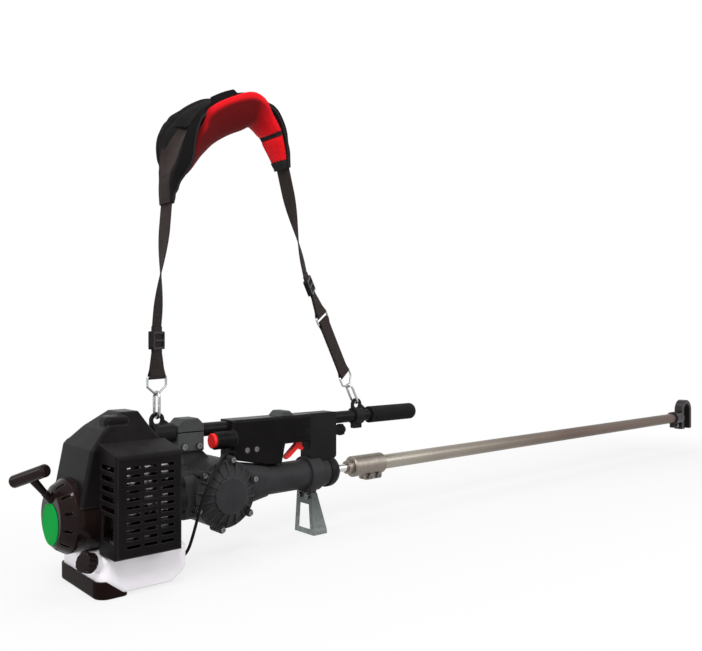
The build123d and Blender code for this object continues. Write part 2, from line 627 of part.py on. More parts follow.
def muffler():
    """Pressed steel box with its inlet flange on the exhaust port and a short tail pipe."""
    gap = GUARD_WALL + MUFFLER_GAP
    x0, x1 = GUARD_X[0] + gap, GUARD_X[1] - gap
    y0, y1 = GUARD_Y[0] + gap - 2, ENGINE_Y - BELL_R - 1.5
    z0, z1 = GUARD_Z[0] + gap, GUARD_Z[1] - gap
    wall = MUFFLER_WALL
    inner = block(x0 + wall, x1 - wall, y0 + wall, y1 - wall, z0 + wall, z1 - wall)
    box = fillet(block(x0, x1, y0, y1, z0, z1).edges(), 9) - fillet(inner.edges(), 9 - wall)
    half = PORT_HALF
    box += block(CYLINDER_X - half, CYLINDER_X + half, y1 - 1, EXHAUST_Y, EXHAUST_Z - half, EXHAUST_Z + half)
    box -= rod_y(half * 0.6, y1 - 5, EXHAUST_Y, CYLINDER_X, EXHAUST_Z)
    tail_z = z0 + 24
    box += rod_x(7, x1 - 1, x1 + 6, (y0 + y1) / 2, tail_z)
    return box - rod_x(5.5, x1 - 5, x1 + 6, (y0 + y1) / 2, tail_z)


def tank_form(inset):
    x0, x1 = TANK_X
    y0, y1 = TANK_Y
    outline = [
        (x0 + inset, STAND_T + inset), (x1 - TANK_NOSE - inset, STAND_T + inset),
        (x1 - inset, STAND_T + TANK_NOSE * 0.7), (x1 - inset, TANK_TOP - inset), (x0 + inset, TANK_TOP - inset),
    ]
    form = plate_y(outline, y0 + inset, y1 - inset)
    upright = form.edges().filter_by(Axis.Z)
    form = fillet(upright, TANK_ROUND - inset)
    return fillet(form.faces().sort_by(Axis.Z)[-1].edges(), TANK_ROUND / 2 - inset)


def tank_hollows(extra):
    """Round hollows in the tank's top, under the fan housing and the clutch housing."""
    rear = rod_x(FAN_R + 1.5 + extra, TANK_X[0] - 1, CASE_X[0] + 4 + extra, ENGINE_Y, AXIS_Z)
    return rear + rod_x(BELL_R + 1.5 + extra, CASE_X[1] - 4 - extra, TANK_X[1] + 1, ENGINE_Y, AXIS_Z)


def fuel_tank():
    tank = tank_form(0) - tank_hollows(0)
    tank += rod_along(NECK_R, NECK_AT, NECK_AIM, 0, NECK_LENGTH)
    tank -= tank_form(TANK_WALL) - tank_hollows(TANK_WALL)
    return tank - rod_along(NECK_R - TANK_WALL, NECK_AT, NECK_AIM, -2, NECK_LENGTH)


def cap_start():
    """Distance along the neck at which the cap clears the tank's rear face."""
    aim_x = -NECK_AIM[0]
    side = math.sqrt(1 - aim_x ** 2)
    return (NECK_AT[0] - TANK_X[0] + CAP_R * side + 1.5) / aim_x


def fuel_cap():
    near = cap_start()
    far = near + CAP_DEPTH
    cap = rod_along(CAP_R, NECK_AT, NECK_AIM, near, far)
    cap = fillet(cap.edges(), 2.0)
    ridge = Plane(origin=NECK_AT, z_dir=NECK_AIM).location
    for index in range(12):
        groove = Rot(0, 0, 30 * index) * Pos(CAP_R + 1, 0, (near + far) / 2 + 3) * Cylinder(2.6, CAP_DEPTH)
        cap -= ridge * groove
    return cap - rod_along(NECK_R + FREE_GAP, NECK_AT, NECK_AIM, near, NECK_LENGTH + FREE_GAP)


def tank_stand():
    """Boot under the tank's rear end, with a rear lip and two side lips that run out forwards."""
    x0, x1 = TANK_X[0] - STAND_WALL - SEAT_FIT, STAND_FRONT_X
    y0, y1 = TANK_Y[0] - STAND_WALL - SEAT_FIT, TANK_Y[1] + STAND_WALL + SEAT_FIT
    side = [(x0, 0), (x1, 0), (x1, STAND_T), (x0 + 40, STAND_T), (x0 + 14, STAND_LIP), (x0, STAND_LIP)]
    tray = plate_y(side, y0, y1)
    upright = tray.edges().filter_by(Axis.Z).filter_by(lambda e: e.center().X < x0 + 1)
    tray = fillet(upright, TANK_ROUND + STAND_WALL)
    rim = tray.faces().sort_by(Axis.Z)[0].edges()
    tray = fillet(rim, 5)
    tray -= tank_form(-SEAT_FIT) & block(x0, TANK_X[1] + 1, y0, y1, STAND_T, TANK_TOP)
    room = rod_along(CAP_R + 2, NECK_AT, NECK_AIM, 0, 60)
    return tray - room


# Carburettor side

def carburettor():
    half = PORT_HALF
    body = block(CYLINDER_X - half, CYLINDER_X + half, INTAKE_Y, CARB_Y[0], INTAKE_Z - half, INTAKE_Z + half)
    body += fillet(block(*CARB_X, *CARB_Y, *CARB_Z).edges().filter_by(Axis.Y), 4)
    body += rod_y(HORN_R, CARB_Y[1], FILTER_Y[0], CYLINDER_X, INTAKE_Z)
    body -= rod_y(half * 0.6, INTAKE_Y, FILTER_Y[0], CYLINDER_X, INTAKE_Z)
    lever_y = (CARB_Y[0] + CARB_Y[1]) / 2
    body -= rod_z(LEVER_PIN_R + RUN_FIT, CARB_Z[1] - 10, CARB_Z[1], CYLINDER_X, lever_y)
    body -= rod_y(LEVER_PIN_R + RUN_FIT, CARB_Y[1] - 10, CARB_Y[1], *CHOKE_AT)
    end = CABLE_POINTS[-1]
    stop = block(end[0] - 5, end[0] + 4, end[1] - 6, end[1] + 6, CARB_Z[1] - 8, end[2] + 6)
    aim = tuple(end[axis] - CABLE_POINTS[-2][axis] for axis in range(3))
    return body + stop - rod_along(CABLE_R + SEAT_FIT, end, aim, -12, 0)


def throttle_lever():
    lever_y = (CARB_Y[0] + CARB_Y[1]) / 2
    base = CARB_Z[1] + 1.5
    lever = rod_z(LEVER_PIN_R, CARB_Z[1] - 9, base + LEVER_T, CYLINDER_X, lever_y)
    lever += rod_z(LEVER_PIN_R * 2.2, base, base + LEVER_T, CYLINDER_X, lever_y)
    lever += block(CYLINDER_X - 2.5, CYLINDER_X + 2.5, lever_y - 16, lever_y, base, base + LEVER_T)
    return lever + rod_z(3.5, base, base + LEVER_T, CYLINDER_X, lever_y - 16)


def choke_lever():
    x, z = CHOKE_AT
    y0 = CARB_Y[1] + 1
    lever = rod_y(LEVER_PIN_R, CARB_Y[1] - 9, y0, x, z)
    lever += rod_y(LEVER_PIN_R * 1.9, y0, y0 + LEVER_T, x, z)
    lever += block(x, x + CHOKE_ARM, y0, y0 + LEVER_T, z - 3, z + 3)
    return lever + rod_y(5, y0, y0 + LEVER_T, x + CHOKE_ARM, z)


def air_filter_cover():
    outer = block(*FILTER_X, *FILTER_Y, *FILTER_Z)
    outer = fillet(outer.edges().filter_by(Axis.Y), 14)
    outer = fillet(outer.faces().sort_by(Axis.Y)[-1].edges(), 7)
    wall = FILTER_WALL
    inner = block(FILTER_X[0] + wall, FILTER_X[1] - wall, FILTER_Y[0] + wall, FILTER_Y[1] - wall,
                  FILTER_Z[0] + wall, FILTER_Z[1] - wall)
    inner = fillet(inner.edges().filter_by(Axis.Y), 11)
    body = outer - inner
    return body - rod_y(HORN_R * 0.6, FILTER_Y[0], FILTER_Y[0] + wall, CYLINDER_X, INTAKE_Z)


# Clutch and bevel drive

GEAR_ANGLE = math.degrees(math.atan(GEAR_TEETH / PINION_TEETH))
PINION_PITCH_R = GEAR_PITCH_R * PINION_TEETH / GEAR_TEETH
CONE_LENGTH = math.hypot(GEAR_PITCH_R, PINION_PITCH_R)
APEX = (CRANK_X, ENGINE_Y, AXIS_Z)
PINION_BACK_X = CRANK_X - GEAR_PITCH_R
GEAR_BACK_Y = CRANK_FACE_Y


def cone_point(angle, distance, lift):
    """Radius and height of a point on a pitch cone, lifted square to the cone."""
    sine, cosine = math.sin(math.radians(angle)), math.cos(math.radians(angle))
    return distance * sine + lift * cosine, distance * cosine - lift * sine


def bevel_tooth(angle):
    """Tooth that narrows towards the apex, on the side of the cone's local X axis."""
    sections = []
    for distance in (CONE_LENGTH - TOOTH_FACE, CONE_LENGTH):
        share = distance / CONE_LENGTH
        low, high = -TOOTH_DED - 0.3, TOOTH_ADD
        points = []
        for lift, side in ((low, -1), (low, 1), (high, 1), (high, -1)):
            radius, height = cone_point(angle, distance, lift * share)
            points.append((radius, side * (TOOTH_HALF - TOOTH_SLOPE * lift) * share, height))
        sections.append(make_face(Polyline(*points, close=True)))
    return loft(sections, ruled=True)


def bevel_blank(angle, back):
    """Cone below the teeth, closed by a flat back at the given height."""
    inner = CONE_LENGTH - TOOTH_FACE
    near_r, near_h = cone_point(angle, inner, -TOOTH_DED * inner / CONE_LENGTH)
    far_r, far_h = cone_point(angle, CONE_LENGTH, -TOOTH_DED)
    outline = [(0, near_h), (near_r, near_h), (far_r, far_h), (far_r, back), (0, back)]
    return revolve(make_face(Polyline(*[(r, 0, h) for r, h in outline], close=True)), Axis.Z)


def bevel_wheel(teeth, angle, back, phase):
    tooth = bevel_tooth(angle)
    ring = [Rot(0, 0, 360 / teeth * (index + phase)) * tooth for index in range(teeth)]
    return bevel_blank(angle, back) + ring


def clutch_drum():
    """Clutch drum on its shaft, which ends in the bevel pinion."""
    shaft_r = PINION_BEARING[0] - RUN_FIT
    drum = rod_x(DRUM_R, *DRUM_X, ENGINE_Y, AXIS_Z)
    drum -= rod_x(DRUM_R - DRUM_T, DRUM_X[0], DRUM_X[1] - DRUM_T, ENGINE_Y, AXIS_Z)
    drum += rod_x(shaft_r + 5, DRUM_X[1], DRUM_X[1] + 10, ENGINE_Y, AXIS_Z)
    drum += rod_x(shaft_r, DRUM_X[1], PINION_BACK_X + 2, ENGINE_Y, AXIS_Z)
    wheel = bevel_wheel(PINION_TEETH, 90 - GEAR_ANGLE, GEAR_PITCH_R + 2, 0.5)
    return drum + Plane(origin=APEX, x_dir=(0, 1, 0), z_dir=(-1, 0, 0)).location * wheel


def crank_gear():
    """Bevel gear, crank disc, drive pin and cross shaft as one forging."""
    back = GEAR_BACK_Y - ENGINE_Y
    wheel = bevel_wheel(GEAR_TEETH, GEAR_ANGLE, back - CRANK_DISC_T + 1, 0)
    gear = Plane(origin=APEX, x_dir=(-1, 0, 0), z_dir=(0, 1, 0)).location * wheel
    gear += rod_y(CRANK_DISC_R, GEAR_BACK_Y - CRANK_DISC_T, GEAR_BACK_Y, CRANK_X, AXIS_Z)
    gear += rod_y(GEAR_BEARING[0] - RUN_FIT, GEARBOX_Y[0] - 2, GEAR_BACK_Y - CRANK_DISC_T, CRANK_X, AXIS_Z)
    return gear + rod_y(DRIVE_PIN_R, GEAR_BACK_Y, YOKE_HALF_T - 1, CRANK_X, AXIS_Z + CRANK_THROW)


PINION_SEATS = (CASE_INLET_X - 12.0, CASE_INLET_X + 14.0)


def bearings():
    crank = CHAMBER_HALF
    rings = [turned_x(bearing_outline(x, CRANK_BEARING), ENGINE_Y, AXIS_Z)
             for x in (CYLINDER_X - crank - CRANK_BEARING[2], CYLINDER_X + crank)]
    rings += [turned_x(bearing_outline(x, PINION_BEARING), ENGINE_Y, AXIS_Z) for x in PINION_SEATS]
    rings += [turned_y(bearing_outline(y, GEAR_BEARING), CRANK_X, AXIS_Z) for y in GEAR_SEATS]
    return group(rings)


def clutch_housing():
    seat = PINION_BEARING[1] + SEAT_FIT
    wall = BELL_WALL
    outer = [
        (CASE_X[1], 0), (CASE_X[1], FLANGE_R + 4), (CASE_X[1] + 6, BELL_R), (BELL_END, BELL_R),
        (BELL_NECK_X, BELL_NECK_R), (CASE_INLET_X, BELL_NECK_R), (CASE_INLET_X, 0),
    ]
    inner = [
        (CASE_X[1], 0), (CASE_X[1], FLANGE_R - 2), (CASE_X[1] + 6, BELL_R - wall), (BELL_END - 1, BELL_R - wall),
        (BELL_NECK_X - 1, BELL_NECK_R - wall), (PINION_SEATS[0], BELL_NECK_R - wall), (PINION_SEATS[0], 0),
    ]
    bell = turned_x(outer, ENGINE_Y, AXIS_Z)
    bell = fillet(bell.edges().filter_by(lambda e: abs(e.center().X - BELL_END) < 1), 10)
    bell -= turned_x(inner, ENGINE_Y, AXIS_Z)
    bell -= rod_x(seat, PINION_SEATS[0], PINION_SEATS[0] + PINION_BEARING[2], ENGINE_Y, AXIS_Z)
    return bell - rod_x(PINION_BEARING[0] + 2, PINION_SEATS[0], CASE_INLET_X, ENGINE_Y, AXIS_Z)


# Gear case, yoke and slider

GEAR_SEATS = (GEARBOX_Y[0] - 1.0, GEARBOX_Y[0] - 1.0 + GEAR_BEARING[2])
CAVITY_R = GEARBOX_R - GEARBOX_WALL
BOLT_RING = GEARBOX_R + 1.0


def ring_points(count, radius, start):
    for index in range(count):
        angle = math.radians(start + 360 / count * index)
        yield CRANK_X + radius * math.cos(angle), AXIS_Z + radius * math.sin(angle)


def gear_case():
    """Round case for the gear, its inlet neck, the arm to the long barrel and the pillar for the rear clamp."""
    y0, y1 = GEARBOX_Y
    case = rod_y(GEARBOX_R, y0, y1, CRANK_X, AXIS_Z)
    for x, z in ring_points(COVER_BOLTS, BOLT_RING, 20):
        case += rod_y(M5_HEAD_R + 2, y0, y0 + 22, x, z)
    arm_start = CRANK_X + GEARBOX_R * 0.25
    arm_y = (y1 - 28) / 2
    arm = loft([
        Plane(origin=(arm_start, arm_y, AXIS_Z), x_dir=(0, 1, 0), z_dir=(1, 0, 0))
        * RectangleRounded(y1 + 28, 2 * GEARBOX_R - 20, 16),
        Plane(origin=(BARREL_X[0], 0, AXIS_Z), x_dir=(0, 1, 0), z_dir=(1, 0, 0))
        * RectangleRounded(2 * BARREL_R + 4, 2 * BARREL_R + 4, BARREL_R - 2),
    ], ruled=True)
    case += arm
    case += rod_x(BARREL_R, *BARREL_X, 0, AXIS_Z)
    neck = block(CASE_INLET_X, CRANK_X - 20, y0 + 4, y0 + 44, AXIS_Z - 36, AXIS_Z + 36)
    case += fillet(neck.edges().filter_by(Axis.X), 12)
    post = CLAMP_BASE_Z
    pillar = [
        (PILLAR_X[0] + 4, post), (PILLAR_X[1], post), (CRANK_X, AXIS_Z + GEARBOX_R - 3), (CRANK_X, AXIS_Z),
        (CRANK_X - 40, AXIS_Z + 10), (PILLAR_X[0] + 20, post - 24),
    ]
    case += plate_y(pillar, -CLAMP_HALF_Y + 6, CLAMP_HALF_Y - 4)
    case -= rod_y(CAVITY_R, y0, y1 - GEARBOX_WALL, CRANK_X, AXIS_Z)
    case -= rod_x(BUSH_R + SEAT_FIT, CRANK_X, BARREL_X[1], 0, AXIS_Z)
    seat = PINION_BEARING[1] + SEAT_FIT
    case -= rod_x(PINION_BEARING[0] + 2, CASE_INLET_X, CRANK_X - 30, ENGINE_Y, AXIS_Z)
    case -= rod_x(seat, PINION_SEATS[1], CRANK_X - 30, ENGINE_Y, AXIS_Z)
    for x, z in ring_points(COVER_BOLTS, BOLT_RING, 20):
        case -= rod_y(M5_R + SEAT_FIT, y0, y0 + 14, x, z)
    return case


def gear_case_cover():
    """Round cover: a bolted flange, a ribbed cone that ends in a plain scalloped disc, and a bearing boss inside."""
    face = GEARBOX_Y[0]
    out = face - COVER_PLATE_T
    flange = face - COVER_FLANGE_T
    nose = face - COVER_RISE
    plate = rod_y(GEARBOX_R, flange, face, CRANK_X, AXIS_Z)
    for x, z in ring_points(COVER_BOLTS, BOLT_RING, 20):
        plate += rod_y(M5_HEAD_R + 2, out, face, x, z)
    cone = Cone(COVER_CONE_R, COVER_DISC_R - 2, flange - nose)
    plate += Pos(CRANK_X, (flange + nose) / 2, AXIS_Z) * Rot(90, 0, 0) * cone
    disc = rod_y(COVER_DISC_R, nose - COVER_DISC_T, nose, CRANK_X, AXIS_Z)
    disc = chamfer(disc.edges().sort_by(Axis.Y)[0], 1.5)
    for index in range(COVER_SCALLOPS):
        notch = rod_y(2.6, nose - COVER_DISC_T, nose, COVER_DISC_R + 1, 0)
        disc -= Pos(CRANK_X, 0, AXIS_Z) * Rot(0, 360 / COVER_SCALLOPS * index, 0) * notch
    plate += disc
    side = Polyline((COVER_DISC_R - 3, face), (GEARBOX_R - 1, face), (GEARBOX_R - 1, out + 2),
                    (COVER_DISC_R, nose), (COVER_DISC_R - 3, nose), close=True)
    rib = extrude(make_face(side), amount=1.4, both=True)
    for index in range(COVER_RIBS):
        plate += Pos(CRANK_X, 0, AXIS_Z) * Rot(0, 360 / COVER_RIBS * (index + 0.5), 0) * rib
    seat_end = GEAR_SEATS[1] + GEAR_BEARING[2]
    plate += rod_y(GEAR_BEARING[1] + 5, face, seat_end, CRANK_X, AXIS_Z)
    plate -= rod_y(GEAR_BEARING[1] + SEAT_FIT, GEAR_SEATS[0], seat_end, CRANK_X, AXIS_Z)
    plate -= rod_y(GEAR_BEARING[0] + 2, out + 3, GEAR_SEATS[0], CRANK_X, AXIS_Z)
    for x, z in ring_points(COVER_BOLTS, BOLT_RING, 20):
        plate -= rod_y(M5_R + SEAT_FIT, out, face, x, z)
    return plate


def yoke():
    """Slotted yoke that the drive pin pushes to and fro, with a boss for the slider rod."""
    slot_r = DRIVE_PIN_R + YOKE_SLACK
    rim_r = slot_r + YOKE_RIM
    place = Plane(origin=(CRANK_X, 0, AXIS_Z), x_dir=(0, 0, 1), z_dir=(0, 1, 0)).location
    form = extrude(SlotCenterToCenter(2 * CRANK_THROW, 2 * rim_r), amount=YOKE_HALF_T, both=True)
    form -= extrude(SlotCenterToCenter(2 * CRANK_THROW, 2 * slot_r), amount=YOKE_HALF_T, both=True)
    body = place * form
    body += rod_x(ROD_R + 2, CRANK_X + slot_r + 1, CRANK_X + rim_r + 8, 0, AXIS_Z)
    return body - rod_x(ROD_R, CRANK_X + slot_r + 1, CRANK_X + rim_r + 8, 0, AXIS_Z)


def slider_rod():
    start = CRANK_X + DRIVE_PIN_R + YOKE_SLACK + 1
    return rod_x(ROD_R - SEAT_FIT, start, POLE_START - 2, 0, AXIS_Z)


def guide_bushes():
    bushes = []
    for x in (BARREL_X[0] - BUSH_LENGTH, BARREL_X[1] - BUSH_LENGTH):
        ring = rod_x(BUSH_R, x, x + BUSH_LENGTH, 0, AXIS_Z)
        bushes.append(ring - rod_x(ROD_R + RUN_FIT, x, x + BUSH_LENGTH, 0, AXIS_Z))
    return group(bushes)


def nose_cap():
    cap = rod_x(NOSE_R, BARREL_X[1], NOSE_END, 0, AXIS_Z)
    cap = fillet(cap.edges().sort_by(Axis.X)[-1], min(NOSE_R - 10, NOSE_END - BARREL_X[1] - 4))
    return cap - rod_x(ROD_R + FREE_GAP, BARREL_X[1], NOSE_END, 0, AXIS_Z)


# Pole and hook

HOOK_MID_X = HOOK_X + HOOK_T + HOOK_GAP / 2
HOOK_OUT_R = HOOK_GAP / 2 + HOOK_T


def pole_connector():
    """Split sleeve that joins the slider rod and the pole, pinched by two bolts through its lower lug."""
    x0, x1 = CONNECTOR_X
    sleeve = rod_x(CONNECTOR_R, x0 + 12, x1, 0, AXIS_Z)
    sleeve = chamfer(sleeve.edges(), 3)
    sleeve += rod_x(ROD_R + 5, x0, x0 + 14, 0, AXIS_Z)
    lug_z = AXIS_Z - CONNECTOR_R - 9
    lug = block(POLE_START + 6, x1 - 6, -9, 9, lug_z, AXIS_Z - POLE_R)
    sleeve += fillet(lug.edges().filter_by(Axis.Y), 5)
    sleeve -= rod_x(POLE_R + SEAT_FIT, POLE_START, x1, 0, AXIS_Z)
    sleeve -= rod_x(ROD_R, x0, POLE_START, 0, AXIS_Z)
    sleeve -= block(POLE_START + 2, x1, -1.2, 1.2, lug_z, AXIS_Z)
    for x in CONNECTOR_BOLTS:
        sleeve -= rod_y(M6_R + SEAT_FIT, -9, 9, x, CONNECTOR_BOLT_Z)
    return sleeve


CONNECTOR_BOLTS = (POLE_START + 18, CONNECTOR_X[1] - 18)
CONNECTOR_BOLT_Z = AXIS_Z - CONNECTOR_R - 3.2
HOOK_BOLT_X = (COLLAR_X + POLE_END) / 2
HOOK_BOLT_Z = AXIS_Z - COLLAR_R - 4


def pole():
    tube = rod_x(POLE_R, POLE_START, POLE_END, 0, AXIS_Z)
    return tube - rod_x(POLE_R - POLE_WALL, POLE_START, POLE_END, 0, AXIS_Z)


def hook_arch(radius, foot, half_width):
    """Upside-down U seen along Y: a half round over two straight sides down to the foot."""
    arch = rod_y(radius, -half_width, half_width, HOOK_MID_X, HOOK_CENTRE_Z)
    return arch + block(HOOK_MID_X - radius, HOOK_MID_X + radius, -half_width, half_width, foot, HOOK_CENTRE_Z)


def branch_hook():
    """Cast hook: a collar on the pole and an arch that is open below and lined with rubber."""
    half = HOOK_WIDTH / 2
    hook = hook_arch(HOOK_OUT_R, HOOK_FOOT_Z, half)
    hook = fillet(hook.faces().filter_by(Axis.Y).edges(), 2.5)
    hook -= hook_arch(HOOK_GAP / 2, HOOK_FOOT_Z - 1, half)
    hook += rod_x(COLLAR_R, COLLAR_X, HOOK_X + 3, 0, AXIS_Z)
    lug = block(COLLAR_X, POLE_END, -8, 8, HOOK_BOLT_Z - 7, AXIS_Z - POLE_R)
    hook += fillet(lug.edges().filter_by(Axis.Y).sort_by(Axis.Z)[:2], 4)
    hook -= rod_x(POLE_R + SEAT_FIT, COLLAR_X, POLE_END, 0, AXIS_Z)
    hook -= block(COLLAR_X, POLE_END, -1.2, 1.2, HOOK_BOLT_Z - 7, AXIS_Z)
    return hook - rod_y(M6_R + SEAT_FIT, -8, 8, HOOK_BOLT_X, HOOK_BOLT_Z)


def hook_pads():
    half = HOOK_WIDTH / 2
    outer = hook_arch(HOOK_GAP / 2, HOOK_FOOT_Z, half)
    return outer - hook_arch(HOOK_GAP / 2 - HOOK_PAD_T, HOOK_FOOT_Z - 1, half)


def pole_bolts():
    bolts = [screw_at((x, -9, CONNECTOR_BOLT_Z), (0, -1, 0), M6_R, M6_HEAD_R, M6_HEAD, 18)
             for x in CONNECTOR_BOLTS]
    bolts.append(screw_at((HOOK_BOLT_X, -8, HOOK_BOLT_Z), (0, -1, 0), M6_R, M6_HEAD_R, M6_HEAD, 16))
    return group(bolts)


# Frame and controls

def frame_tube():
    tube = rod_x(TUBE_R, *TUBE_X, 0, TUBE_Z)
    return tube - rod_x(TUBE_R - TUBE_WALL, *TUBE_X, 0, TUBE_Z)


def tube_clamp(x0, x1, half_y):
    """Cast clamp with a bevelled top, bored for the tube and slit on its near side."""
    outline = [
        (x0, CLAMP_BASE_Z), (x1, CLAMP_BASE_Z), (x1, CLAMP_TOP_Z - CLAMP_BEVEL), (x1 - CLAMP_BEVEL, CLAMP_TOP_Z),
        (x0 + CLAMP_BEVEL, CLAMP_TOP_Z), (x0, CLAMP_TOP_Z - CLAMP_BEVEL),
    ]
    clamp = plate_y(outline, -half_y, half_y)
    clamp = fillet(clamp.edges().filter_by(Axis.X), 3)
    clamp -= rod_x(TUBE_R + SEAT_FIT, x0, x1, 0, TUBE_Z)
    return clamp - block(x0, x1, -half_y, -TUBE_R, TUBE_Z - 1, TUBE_Z + 1)


CLAMP_BOLTS = [(x, -CLAMP_HALF_Y, CLAMP_BASE_Z + 9) for x in (PILLAR_X[0] + 10, PILLAR_X[0] + CLAMP_LENGTH - 10)]


def tube_clamps():
    """Rear clamp on the gear case with its two bolts' holes, and the narrower one inside the handle."""
    rear = tube_clamp(PILLAR_X[0], PILLAR_X[0] + CLAMP_LENGTH, CLAMP_HALF_Y)
    for x, y, z in CLAMP_BOLTS:
        rear -= rod_y(M6_R + SEAT_FIT, y, y + M6_LENGTH, x, z)
    front = tube_clamp(FRONT_CLAMP_X, FRONT_CLAMP_X + FRONT_CLAMP_LENGTH, FRONT_CLAMP_HALF_Y)
    return group([rear, front])


def eyelet(x, collar):
    """Tab with a round hole on a split ring, whose collar may run on along the tube."""
    half = EYELET_LENGTH / 2
    ring = rod_x(EYELET_RING_R, x - half, x + half + collar, 0, TUBE_Z)
    foot = x + EYELET_R + EYELET_TOE
    outline = [(x - EYELET_R, TUBE_Z), (foot, TUBE_Z), (foot, TUBE_Z + TUBE_R + 2), (x + EYELET_R, EYELET_Z),
               (x - EYELET_R, EYELET_Z)]
    tab = plate_y(outline, -EYELET_T / 2, EYELET_T / 2)
    tab += rod_y(EYELET_R, -EYELET_T / 2, EYELET_T / 2, x, EYELET_Z)
    lug = block(x - half, x + half, -6, 6, TUBE_Z - EYELET_RING_R - 8, TUBE_Z)
    body = ring + tab + fillet(lug.edges().filter_by(Axis.X), 2)
    body -= rod_x(TUBE_R + SEAT_FIT, x - half - EYELET_R, foot + collar, 0, TUBE_Z)
    body -= block(x - half, x + half, -0.8, 0.8, TUBE_Z - EYELET_RING_R - 8, TUBE_Z)
    return body - rod_y(EYELET_HOLE_R, -EYELET_T / 2, EYELET_T / 2, x, EYELET_Z)


def strap_eyelets():
    return group([eyelet(EYELET_X[0], REAR_COLLAR), eyelet(EYELET_X[1], 1)])


def front_grip():
    x0, x1 = GRIP_X
    grip = rod_x(GRIP_R, x0, x1, 0, TUBE_Z)
    grip = fillet(grip.edges().sort_by(Axis.X)[-1], GRIP_R * 0.55)
    groove = rod_x(GRIP_R + 1, x0 + 8, x0 + 11, 0, TUBE_Z) - rod_x(GRIP_R - 1.5, x0 + 8, x0 + 11, 0, TUBE_Z)
    return grip - groove - rod_x(TUBE_R + SEAT_FIT, x0, TUBE_X[1], 0, TUBE_Z)


def front_bracket():
    """Black upright that ties the tube to the barrel in front of the handle."""
    x0, x1 = BRACKET_X
    outline = [
        (x0, AXIS_Z + 14), (x0 + 44, AXIS_Z + 14), (x1, AXIS_Z + 30), (x1, HANDLE_Z[1]), (x0, HANDLE_Z[1]),
    ]
    bracket = plate_y(outline, -BRACKET_HALF_Y, BRACKET_HALF_Y)
    bracket = fillet(bracket.edges().filter_by(Axis.Y).sort_by(Axis.X)[-2:], 6)
    bracket -= rod_x(TUBE_R + SEAT_FIT, x0, x1, 0, TUBE_Z)
    bracket -= rod_x(NOSE_R + SEAT_FIT, BARREL_X[1], x1, 0, AXIS_Z)
    ring_end = STAND_X + 4 + STAND_RING_LENGTH
    bracket -= rod_x(STAND_RING_R + SEAT_FIT, x0, ring_end, 0, AXIS_Z)
    return bracket - rod_x(BARREL_R + SEAT_FIT, x0, BARREL_X[1], 0, AXIS_Z)


def handle_half(side):
    """One half of the handle housing: side is -1 for the near half and 1 for the far one."""
    x0, x1 = HANDLE_X
    z0, z1 = HANDLE_Z
    limits = sorted((0, side * HANDLE_HALF_Y))
    outline = [(x0, z0), (BARREL_X[0], HANDLE_FOOT_Z + 1), (FINGER_X, HANDLE_FOOT_Z), (FINGER_X + 8, FINGER_Z),
               (x1, FINGER_Z), (x1, z1), (x0, z1)]
    shell = plate_y(outline, *limits)
    outer = shell.faces().sort_by(Axis.Y)[0 if side < 0 else -1].edges()
    shell = fillet(outer, 5)
    wall = HANDLE_WALL
    inner = sorted((0, side * (HANDLE_HALF_Y - wall)))
    shell -= block(x0 + wall, x1 - wall, *inner, FINGER_Z + wall, TUBE_Z - TUBE_R - wall)
    shell -= block(x0 + wall, FINGER_X - wall, *inner, z0 + wall, FINGER_Z + wall)
    if side < 0:
        shell += rod_x(SWITCH_R, *SWITCH_X, SWITCH_Y, SWITCH_Z)
        shell -= rod_x(BUTTON_R + FREE_GAP, SWITCH_X[0], SWITCH_X[0] + 12, SWITCH_Y, SWITCH_Z)
    shell -= rod_x(TUBE_R + SEAT_FIT, SWITCH_X[0], x1, 0, TUBE_Z)
    shell -= rod_y(GEARBOX_R + 1, *limits, CRANK_X, AXIS_Z)
    clamp_end = FRONT_CLAMP_X + FRONT_CLAMP_LENGTH
    hold = sorted((0, side * FRONT_CLAMP_HALF_Y))
    shell -= block(FRONT_CLAMP_X, clamp_end, *hold, CLAMP_BASE_Z, CLAMP_TOP_Z)
    for x, z in HANDLE_SCREWS:
        far = M5_LENGTH - HANDLE_HALF_Y + M5_HEAD
        if side < 0:
            shell += rod_y(M5_HEAD_R + 2, -HANDLE_HALF_Y, 0, x, z)
            shell -= rod_y(M5_HEAD_R + 0.3, -HANDLE_HALF_Y, M5_HEAD - HANDLE_HALF_Y, x, z)
            shell -= rod_y(M5_R + SEAT_FIT, -HANDLE_HALF_Y, 0, x, z)
        else:
            shell += rod_y(M5_HEAD_R + 2, 0, HANDLE_HALF_Y - wall, x, z) - rod_y(M5_R + SEAT_FIT, 0, far, x, z)
    slot = TRIGGER_T / 2 + FREE_GAP
    blade = sorted((0, side * slot))
    shell -= block(FINGER_X + 6, x1 - wall, *blade, FINGER_Z - 1, FINGER_Z + wall + 1)
    shell += rod_y(TRIGGER_PIN_R, *sorted((side * slot, side * (HANDLE_HALF_Y - wall))), *TRIGGER_AT)
    return shell - rod_along(CABLE_R + FREE_GAP, CABLE_POINTS[0], CABLE_AIM, 0, 24)


CABLE_AIM = tuple(CABLE_POINTS[1][axis] - CABLE_POINTS[0][axis] for axis in range(3))


def stop_button():
    front = SWITCH_X[0] - BUTTON_PROUD
    button = rod_x(BUTTON_R, front, SWITCH_X[0] + 12 - BUTTON_TRAVEL - FREE_GAP, SWITCH_Y, SWITCH_Z)
    return fillet(button.edges().sort_by(Axis.X)[0], 2)


